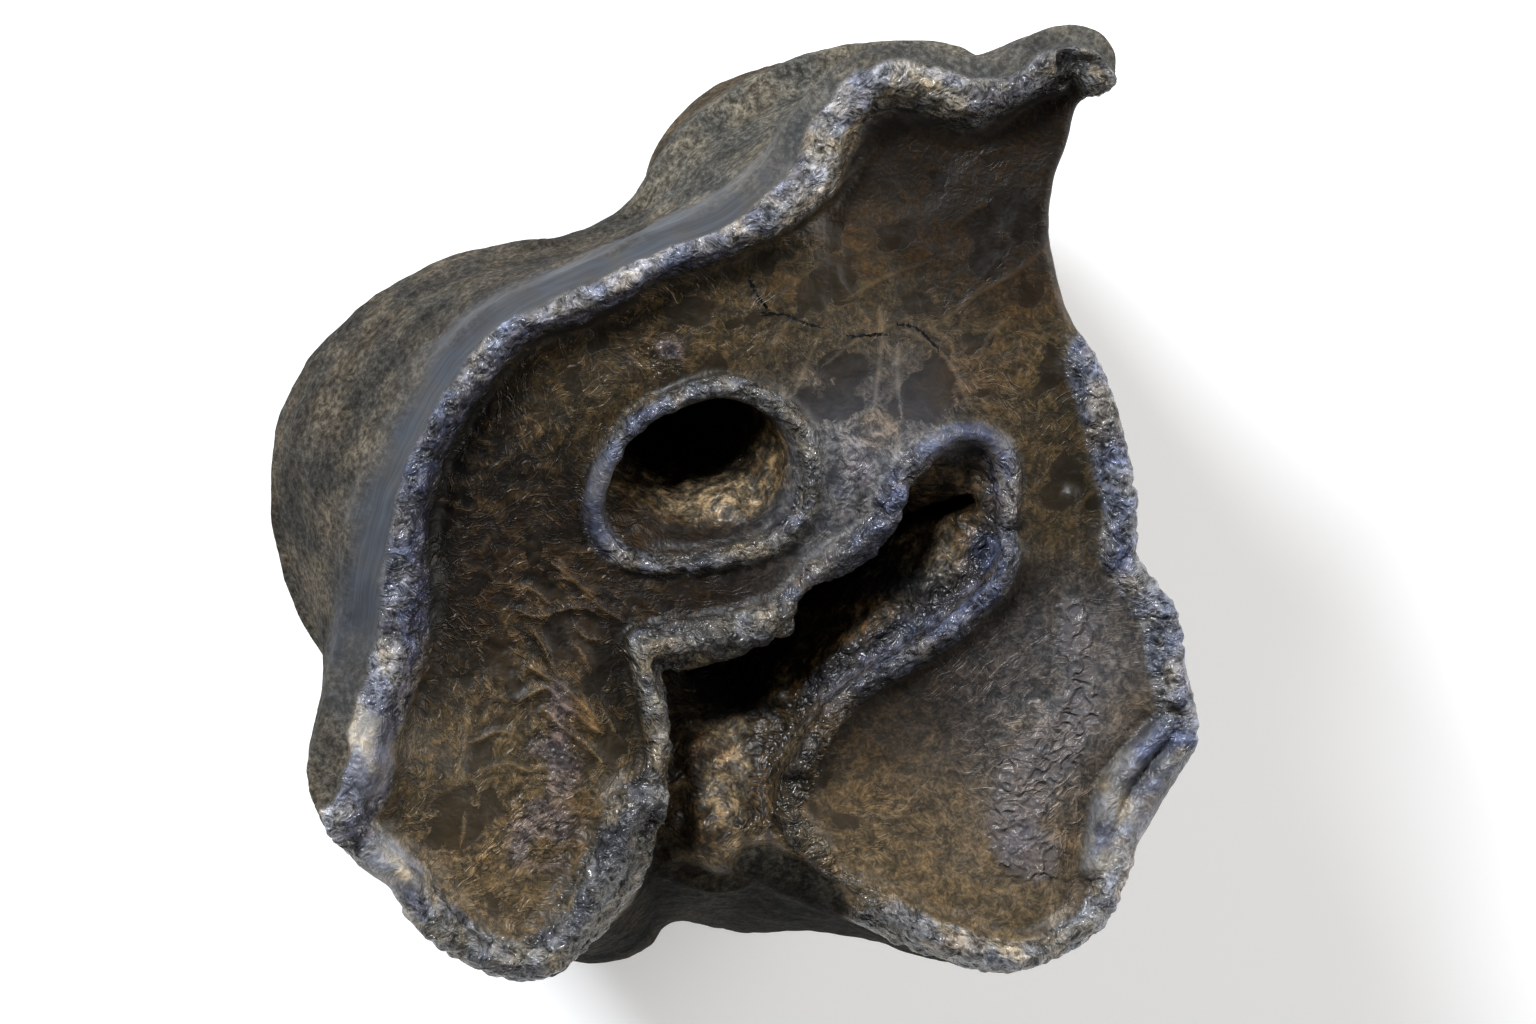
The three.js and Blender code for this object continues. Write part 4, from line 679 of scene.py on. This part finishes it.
# painted shade: the inner side of the cheek crest, which faces away from the light, is darkened towards navy
inner = ease(1.7, 2.3, F["cheek"](x, y)) * ease(3.6, 3.0, F["cheek"](x, y)) * en * ease(1, -3, x)
tint = mix(tint, tint * np.array([0.42, 0.42, 0.55]), 0.8 * inner)
flank = ease(2.0, 3.4, F["cheek"](x, y)) * en * ease(13.5, 17, y)  # painted shade: its inner side in front, which faces away from the light, darkened to brown towards the foot
tint = mix(tint, tint * np.array([0.42, 0.38, 0.34]), 0.85 * flank)
# painted highlight: convex enamel tops are lightened to a bluish white
painted_crest_highlight = np.clip(-F["hollow"](x, y) / 0.4, 0, 1) * top * en
tint = mix(tint, tint * np.array([1.45, 1.5, 1.65]), 0.7 * painted_crest_highlight)
tint = np.clip(tint, 0.001, 1)
turn = blend([(at, (math.cos(2 * math.radians(d)), math.sin(2 * math.radians(d)))) for at, d in FIBRE_TURN], 2.2, 2)
turn = 0.5 * np.arctan2(turn[:, 1], turn[:, 0]) + (0.9 * noise(x, y, z, 2.1, 53) + 0.5 * noise(x, y, z, 0.9, 54)) * (1 - 0.6 * ease(5, 9, x) * ease(-3, -7, y))
gloss_painted_sheen = np.zeros(len(x))
for (cx, cy), (rx, ry) in GLOSSY_SHEEN_PATCHES:
    gloss_painted_sheen = np.maximum(gloss_painted_sheen, ease(1.15, 0.6, np.hypot((x - cx) / rx, (y - cy) / ry) + 0.25 * noise(x, y, z, 1.4, 52)))
sheen_band = ease(1.2, 0.7, (away(smooth(WRINKLED_BAND[1], False), x, y) + 0.35 * noise(x, y, z, 1.3, 60) + 0.2 * noise(x, y, z, 0.6, 61)) / (WRINKLED_BAND[0] * (0.8 + 0.85 * ease(-10.5, -14, y))))
on_face = top * (1 - en)
# painted sheen: the glossy patches are lightened towards a bluish grey that stands in for their reflection
tint = mix(tint, tint * 0.5 + lin(92, 87, 98) * 0.6, 0.5 * gloss_painted_sheen * on_face * ease(-0.3, 0.3, noise(x, y, z, 1.2, 63)))
# painted sheen: the wrinkled band is tinted an even bluish grey that stands in for its gloss
tint = mix(tint, lin(85, 82, 85), 0.65 * sheen_band * on_face)


def attribute(name, values):
    a = mesh.attributes.new(name, "FLOAT", "POINT")
    a.data.foreach_set("value", np.ascontiguousarray(values, np.float32))


edge = np.maximum(F["enamel"](x, y), slope)
attribute("enamel", np.maximum(ease(0.1, 0.9, edge + 1.4 * edge * (1 - edge) * noise(x, y, z, 0.7, 56)), 0.45 * gloss_painted_sheen * on_face))
attribute("wall", ease(0.02, 0.98, np.clip(wall + rooty * (1 - hole), 0, 1)))
attribute("hole", ease(0.02, 0.98, hole))
attribute("gloss_painted_sheen", np.maximum(gloss_painted_sheen, sheen_band) * on_face)
for n in range(4):
    attribute("lie%d" % n, np.clip((np.cos(2 * (turn - math.pi * n / 4)) - 0.1) / 0.6, 0, 1))
attribute("smooth_patch", np.clip(patch, -1, 1))
attribute("fibrous", fibrous)
attribute("sheen_band_on_face", sheen_band * on_face)
attribute("calm", calm)
attribute("rim_distance", rim_in)
attribute("cheek_painted_sheen", cheek_painted_sheen)


def line_distances(lines):
    """Signed distance across the nearest line, plain distance to it, and its strength, in mm."""
    across, apart, strength = np.full(len(x), 1.0), np.full(len(x), 1.0), np.zeros(len(x))
    for strong, line in lines:
        pts = smooth(line, False)
        (x0, y0), (x1, y1) = pts.min(0) - 1, pts.max(0) + 1
        near = np.flatnonzero((x > x0) & (x < x1) & (y > y0) & (y < y1) & (below < 3))
        qx, qy = x[near], y[near]
        for a, b in zip(pts[:-1], pts[1:]):
            d = b - a
            t = np.clip(((qx - a[0]) * d[0] + (qy - a[1]) * d[1]) / (d @ d), 0, 1)
            u = np.hypot(qx - a[0] - t * d[0], qy - a[1] - t * d[1])
            side = np.sign((qx - a[0]) * d[1] - (qy - a[1]) * d[0])
            closer = u < apart[near]
            k = near[closer]
            across[k], apart[k], strength[k] = (side * u)[closer], u[closer], strong
    return across, apart, strength


def line_attribute(name, lines):
    a = mesh.attributes.new(name, "FLOAT_COLOR", "POINT")
    a.data.foreach_set("color", np.ascontiguousarray(np.stack([*line_distances(lines), np.ones(len(x))], 1), np.float32).ravel())


long_lines = [(min(1, 0.35 + 2.2 * h), line) for _, h, line in LONG_FIBRES]
line_attribute("strands_a", long_lines[::2])
line_attribute("strands_b", long_lines[1::2])
line_attribute("cracks", [(1, line) for line in CRACKS])
a = mesh.attributes.new("tint", "FLOAT_COLOR", "POINT")
a.data.foreach_set("color", np.ascontiguousarray(np.concatenate([tint, np.ones((len(x), 1))], 1), np.float32).ravel())


# ---- material ------------------------------------------------------------------------------------
def material():
    """Enamel, dentine, wall and hollows as four finishes, each shown where the skin's own attributes say."""
    mat = bpy.data.materials.new("fossil_tooth")
    mat.use_nodes = True
    nt = mat.node_tree
    nt.nodes.remove(nt.nodes["Principled BSDF"])

    def node(kind, **values):
        n = nt.nodes.new(kind)
        for k, v in values.items():
            setattr(n, k, v)
        return n

    def feed(value, socket):
        if isinstance(value, (int, float)):
            socket.default_value = value
        elif isinstance(value, tuple):
            socket.default_value = (*value, 1) if len(socket.default_value) == 4 else value
        else:
            nt.links.new(value, socket)

    def attr(name):
        n = node("ShaderNodeAttribute", attribute_name=name)
        return n.outputs["Color"] if name in ("tint", "strands_a", "strands_b", "cracks") else n.outputs["Fac"]

    def calc(op, a, c=0.0, d=None, clamp=False):
        n = node("ShaderNodeMath", operation=op, use_clamp=clamp)
        feed(a, n.inputs[0])
        feed(c, n.inputs[1])
        if d is not None:
            feed(d, n.inputs[2])
        return n.outputs[0]

    def mul(*values):
        out = values[0]
        for v in values[1:]:
            out = calc("MULTIPLY", out, v)
        return out

    def mixf(share, a, c):
        n = node("ShaderNodeMix", data_type="FLOAT")
        feed(share, n.inputs[0])
        feed(a, n.inputs[2])
        feed(c, n.inputs[3])
        return n.outputs[0]

    def colours(share, a, c):
        n = node("ShaderNodeMix", data_type="RGBA")
        feed(share, n.inputs[0])
        feed(a, n.inputs[6])
        feed(c, n.inputs[7])
        return n.outputs[2]

    def vec(x, y, z):
        n = node("ShaderNodeCombineXYZ")
        for i, v in enumerate((x, y, z)):
            feed(v, n.inputs[i])
        return n.outputs[0]

    def vmath(op, a, c):
        n = node("ShaderNodeVectorMath", operation=op)
        nt.links.new(a, n.inputs[0])
        feed(c, n.inputs["Scale"] if op == "SCALE" else n.inputs[1])
        return n.outputs["Value"] if op == "DOT_PRODUCT" else n.outputs[0]

    def tex_noise(at, scale, detail, rough, out="Fac", flat=False):
        n = node("ShaderNodeTexNoise", noise_dimensions="2D" if flat else "3D")
        nt.links.new(at, n.inputs["Vector"])
        n.inputs["Scale"].default_value, n.inputs["Detail"].default_value, n.inputs["Roughness"].default_value = scale, detail, rough
        return n.outputs[out]

    def ramp(value, *stops):
        """A curve of straight pieces through (value, result) pairs, in grey."""
        n = node("ShaderNodeValToRGB")
        el = n.color_ramp.elements
        el[0].position, el[0].color = stops[0][0], (*[stops[0][1]] * 3, 1)
        el[1].position, el[1].color = stops[-1][0], (*[stops[-1][1]] * 3, 1)
        for p, v in stops[1:-1]:
            e = el.new(p)
            e.color = (v, v, v, 1)
        nt.links.new(value, n.inputs[0])
        return n.outputs[0]

    def level(value, low, high):
        """0 at low, 1 at high, straight between."""
        n = node("ShaderNodeMapRange", clamp=True)
        feed(value, n.inputs[0])
        n.inputs[1].default_value, n.inputs[2].default_value = low, high
        return n.outputs[0]

    def vein(value, sharpness):
        """Thin lines along the middle level of a noise."""
        return calc("SUBTRACT", 1.0, mul(calc("ABSOLUTE", calc("SUBTRACT", value, 0.5)), sharpness), clamp=True)

    def finish(gain, cast, rough, height, index=1.45):
        b = node("ShaderNodeBsdfPrincipled")
        nt.links.new(vmath("MULTIPLY", vmath("SCALE", attr("tint"), gain), cast), b.inputs["Base Color"])
        nt.links.new(rough, b.inputs["Roughness"])
        b.inputs["IOR"].default_value = index
        bump = node("ShaderNodeBump")
        bump.inputs["Strength"].default_value = 1.0
        bump.inputs["Distance"].default_value = 0.001
        nt.links.new(height, bump.inputs["Height"])
        nt.links.new(bump.outputs[0], b.inputs["Normal"])
        return b.outputs[0]

    def blend_in(share, a, c):
        n = node("ShaderNodeMixShader")
        feed(share, n.inputs[0])
        nt.links.new(a, n.inputs[1])
        nt.links.new(c, n.inputs[2])
        return n.outputs[0]

    coord = node("ShaderNodeTexCoord").outputs["Object"]
    split = node("ShaderNodeSeparateXYZ")
    nt.links.new(coord, split.inputs[0])
    px, py, pz = split.outputs
    wall = attr("wall")

    # place on the skin, drawn out in height on the walls and warped so that nothing looks regular
    tall = vec(px, py, mul(calc("SUBTRACT", pz, 0.05), calc("MULTIPLY_ADD", wall, -0.62, 1.0)))
    warped = vmath("ADD", tall, vmath("SCALE", tex_noise(tall, 800, 1, 0.6, out="Color"), 0.0008))
    grain = tex_noise(warped, 1350, 4, 0.74)
    lumps = tex_noise(warped, 2100, 1, 0.65)

    def lying(directions, along, across, sharpness):
        """Fine lines along a few directions in plan, each where the skin says."""
        out = None
        for n in directions:
            a = math.pi * n / 4
            c, s = math.cos(a), math.sin(a)
            at = vec(calc("ADD", vmath("DOT_PRODUCT", warped, (along * c, along * s, 0)), 7.3 * n), calc("ADD", vmath("DOT_PRODUCT", warped, (-across * s, across * c, 0)), 4.1 * n), 0.0)
            one = mul(vein(tex_noise(at, 1.0, 1, 0.55, flat=True), sharpness), attr("lie%d" % n))
            out = one if out is None else calc("MAXIMUM", out, one)
        return out

    # enamel: flaked and crystalline, of many tones with dark gaps
    bands = lying((0, 1, 2, 3), 900, 2300, 12)
    e_gain = calc("ADD", ramp(grain, (0.4, 0.18), (0.45, 0.46), (0.5, 0.83), (0.55, 1.3), (0.62, 2.0)), mul(bands, 0.7))
    e_gain = mixf(mul(attr("calm"), 0.6), e_gain, 1.1)
    e_cast = colours(level(tex_noise(warped, 550, 1, 0.6), 0.4, 0.6), (0.92, 0.965, 1.09), (1.1, 1.02, 0.88))
    e_height = mul(calc("ADD", mul(lumps, 0.4), mul(bands, 0.05)), calc("MULTIPLY_ADD", attr("calm"), -0.55, 1.0))
    enamel = finish(e_gain, e_cast, mixf(attr("calm"), ramp(grain, (0.44, 0.4), (0.56, 0.17)), 0.44), e_height)

    # dentine: velvety brown ground, dark smooth patches, fine raised fibres
    velvet = tex_noise(warped, 4200, 2, 0.7)
    plain = level(calc("ADD", attr("smooth_patch"), calc("MULTIPLY_ADD", velvet, 0.5, -0.25)), -0.07, 0.07)
    loose = calc("SUBTRACT", 1.0, plain)

    def drawn(name, half, ragged):
        """A line a fixed width wide, with a ragged edge."""
        n = node("ShaderNodeSeparateXYZ")
        nt.links.new(attr(name), n.inputs[0])
        across, apart, strength = n.outputs
        inside = calc("ADD", calc("ABSOLUTE", across), calc("MULTIPLY_ADD", velvet, ragged, -0.5 * ragged))
        return mul(level(inside, half, 0.0), level(apart, 0.5, 0.35), strength)

    strand = calc("MAXIMUM", drawn("strands_a", 0.17, 0.45), drawn("strands_b", 0.17, 0.45))
    fibres = lying((0, 1, 2, 3), 260, 1900, 19)
    shown = mul(fibres, level(grain, 0.43, 0.5), loose, attr("fibrous"))
    raised = calc("MAXIMUM", shown, strand)
    d_gain = mul(ramp(grain, (0.4, 0.5), (0.46, 0.75), (0.5, 0.92), (0.55, 1.2), (0.62, 1.6)), ramp(velvet, (0.36, 0.6), (0.5, 1.0), (0.64, 1.5)))
    calmer = calc("MULTIPLY_ADD", attr("fibrous"), 0.3, 0.75, clamp=True)
    # the band with the painted sheen keeps an even colour
    d_gain = mixf(attr("sheen_band_on_face"), mixf(calmer, 1.0, d_gain), 1.1)
    d_gain = calc("ADD", mixf(plain, d_gain, 0.5), calc("ADD", mul(shown, 1.5), mul(strand, 1.7)))
    d_gain = mul(d_gain, calc("SUBTRACT", 1.0, level(drawn("cracks", 0.1, 0.35), 0.1, 0.3)))
    d_cast = colours(plain, colours(level(grain, 0.45, 0.55), (0.99, 1.0, 0.99), (1.05, 1.0, 0.92)), (0.98, 0.98, 1.02))
    d_cast = colours(raised, d_cast, (1.08, 1.0, 0.88))
    d_rough = mixf(attr("gloss_painted_sheen"), mixf(raised, ramp(grain, (0.44, 0.5), (0.56, 0.4)), calc("MULTIPLY_ADD", attr("fibrous"), -0.14, 0.42)), 0.26)
    wrinkles = mul(vein(tex_noise(warped, 900, 1, 0.6), 9.0), attr("sheen_band_on_face"), 0.2)
    d_height = calc("ADD", calc("ADD", wrinkles, mul(lumps, calc("ADD", calc("MULTIPLY_ADD", attr("fibrous"), 0.04, 0.03), mul(attr("gloss_painted_sheen"), 0.1)))), calc("ADD", mul(raised, calc("MULTIPLY_ADD", attr("fibrous"), 0.06, 0.02)), mul(velvet, loose, 0.03)))
    dentine = finish(d_gain, d_cast, d_rough, d_height, 1.34)

    # wall: growth lines beside the rim; mottling, specks and scratches below them
    soft = tex_noise(tall, 330, 2, 0.6)
    streak = tex_noise(vec(mul(attr("rim_distance"), 5.0), vmath("DOT_PRODUCT", coord, (110, 0, 40)), vmath("DOT_PRODUCT", coord, (0, 110, 40))), 1.0, 3, 0.7)
    # the band beside the cheek crest whose bluish sheen is painted in the tint: lined and smoother here
    cheek_painted_sheen = attr("cheek_painted_sheen")
    scratch = tex_noise(vec(vmath("DOT_PRODUCT", warped, (300, 300, 160)), vmath("DOT_PRODUCT", warped, (-1500, 1500, 300)), vmath("DOT_PRODUCT", warped, (500, -300, 1300))), 1.0, 1, 0.6)
    specks = tex_noise(tall, 2700, 3, 0.75)
    w_gain = mul(ramp(specks, (0.38, 0.45), (0.46, 0.8), (0.5, 1.0), (0.55, 1.25), (0.62, 2.0)), ramp(soft, (0.32, 0.72), (0.5, 1.0), (0.68, 1.28)))
    w_gain = calc("ADD", w_gain, mul(vein(scratch, 16.0), level(soft, 0.46, 0.6), 0.9))
    w_gain = mixf(cheek_painted_sheen, w_gain, ramp(streak, (0.36, 0.88), (0.5, 1.0), (0.62, 1.2)))
    w_cast = colours(level(soft, 0.4, 0.6), (0.96, 1.0, 1.03), (1.07, 1.0, 0.88))
    side = finish(w_gain, w_cast, mixf(cheek_painted_sheen, 0.85, 0.5), calc("ADD", mul(specks, calc("SUBTRACT", 1.0, cheek_painted_sheen), 0.14), mul(streak, cheek_painted_sheen, 0.12)), 1.12)

    # hollows: brown matrix; its tint carries painted shade in its depths
    h_gain = ramp(grain, (0.4, 0.25), (0.5, 0.8), (0.56, 1.5), (0.62, 2.6))
    hollow = finish(h_gain, colours(level(grain, 0.45, 0.56), (0.97, 1.0, 1.04), (1.06, 1.0, 0.92)), ramp(grain, (0.44, 0.55), (0.56, 0.32)), mul(lumps, 0.24), 1.35)

    out = blend_in(attr("hole"), blend_in(wall, blend_in(attr("enamel"), dentine, enamel), side), hollow)
    nt.links.new(out, nt.nodes["Material Output"].inputs["Surface"])
    return mat


mesh.materials.append(material())
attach(tooth, "root")
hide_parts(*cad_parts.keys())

# ---- floor, light, camera ------------------------------------------------------------------------
floor_mesh = bpy.data.meshes.new("floor")
floor_mesh.from_pydata([(-3, -3, 0), (3, -3, 0), (3, 3, 0), (-3, 3, 0)], [], [(0, 1, 2, 3)])
floor = bpy.data.objects.new("floor", floor_mesh)
bpy.context.collection.objects.link(floor)
fm = bpy.data.materials.new("pale_floor")
fm.use_nodes = True
fb = fm.node_tree.nodes["Principled BSDF"]
fb.inputs["Base Color"].default_value = (0.9, 0.9, 0.9, 1)
fb.inputs["Roughness"].default_value = 0.9
fb.inputs["Emission Color"].default_value = (1, 1, 1, 1)
fb.inputs["Emission Strength"].default_value = 0.25
floor_mesh.materials.append(fm)


def area(name, where, size, energy, colour=(1, 1, 1)):
    data = bpy.data.lights.new(name, "AREA")
    data.shape, data.size, data.size_y = "RECTANGLE", size[0], size[1]
    data.energy, data.color = energy, colour
    ob = bpy.data.objects.new(name, data)
    bpy.context.collection.objects.link(ob)
    ob.location = where
    ob.rotation_euler = (Vector((0, 0, 0.03)) - Vector(where)).to_track_quat("-Z", "Y").to_euler()
    return ob


area("key", (-0.42, 0.5, 0.62), (0.26, 0.26), 12, (0.92, 0.95, 1.0))
area("fill", (0.8, 0.3, 0.45), (0.8, 0.8), 9, (1.0, 0.98, 0.95))
bpy.context.scene.view_settings.view_transform = "Standard"
world = bpy.data.worlds.new("studio")
bpy.context.scene.world = world
world.use_nodes = True
sky = world.node_tree.nodes["Background"]
sky.inputs[0].default_value = (1, 1, 1, 1)
way, updown, bright = (world.node_tree.nodes.new("ShaderNode" + kind) for kind in ("TexCoord", "SeparateXYZ", "MapRange"))
world.node_tree.links.new(way.outputs["Generated"], updown.inputs[0])
world.node_tree.links.new(updown.outputs[2], bright.inputs[0])
for socket, value in zip(bright.inputs[1:5], (0.05, 0.7, 0.6, 0.04)):  # pale all round, dark overhead
    socket.default_value = value
world.node_tree.links.new(bright.outputs[0], sky.inputs[1])

TILT, TOWARDS, DISTANCE, PX_PER_MM = math.radians(11), Vector((-0.685, 0.728, 0)).normalized(), 520.0, 17.8
target = Vector((float(SHIFT[0]), float(SHIFT[1]), FACE_Z))
back = Vector((math.sin(TILT) * TOWARDS.x, math.sin(TILT) * TOWARDS.y, math.cos(TILT)))
right = (-back).cross(Vector((0, 1, 0))).normalized()
up = right.cross(-back)
cam_data = bpy.data.cameras.new("camera")
cam = bpy.data.objects.new("camera", cam_data)
bpy.context.collection.objects.link(cam)
m = Matrix((right, up, back)).transposed().to_4x4()
m.translation = (target + back * DISTANCE) / 1000
cam.matrix_world = m
cam_data.sensor_width = 36
cam_data.lens = PX_PER_MM * DISTANCE * 36 / 1536
cam_data.clip_start, cam_data.clip_end = 0.01, 20
bpy.context.scene.camera = cam
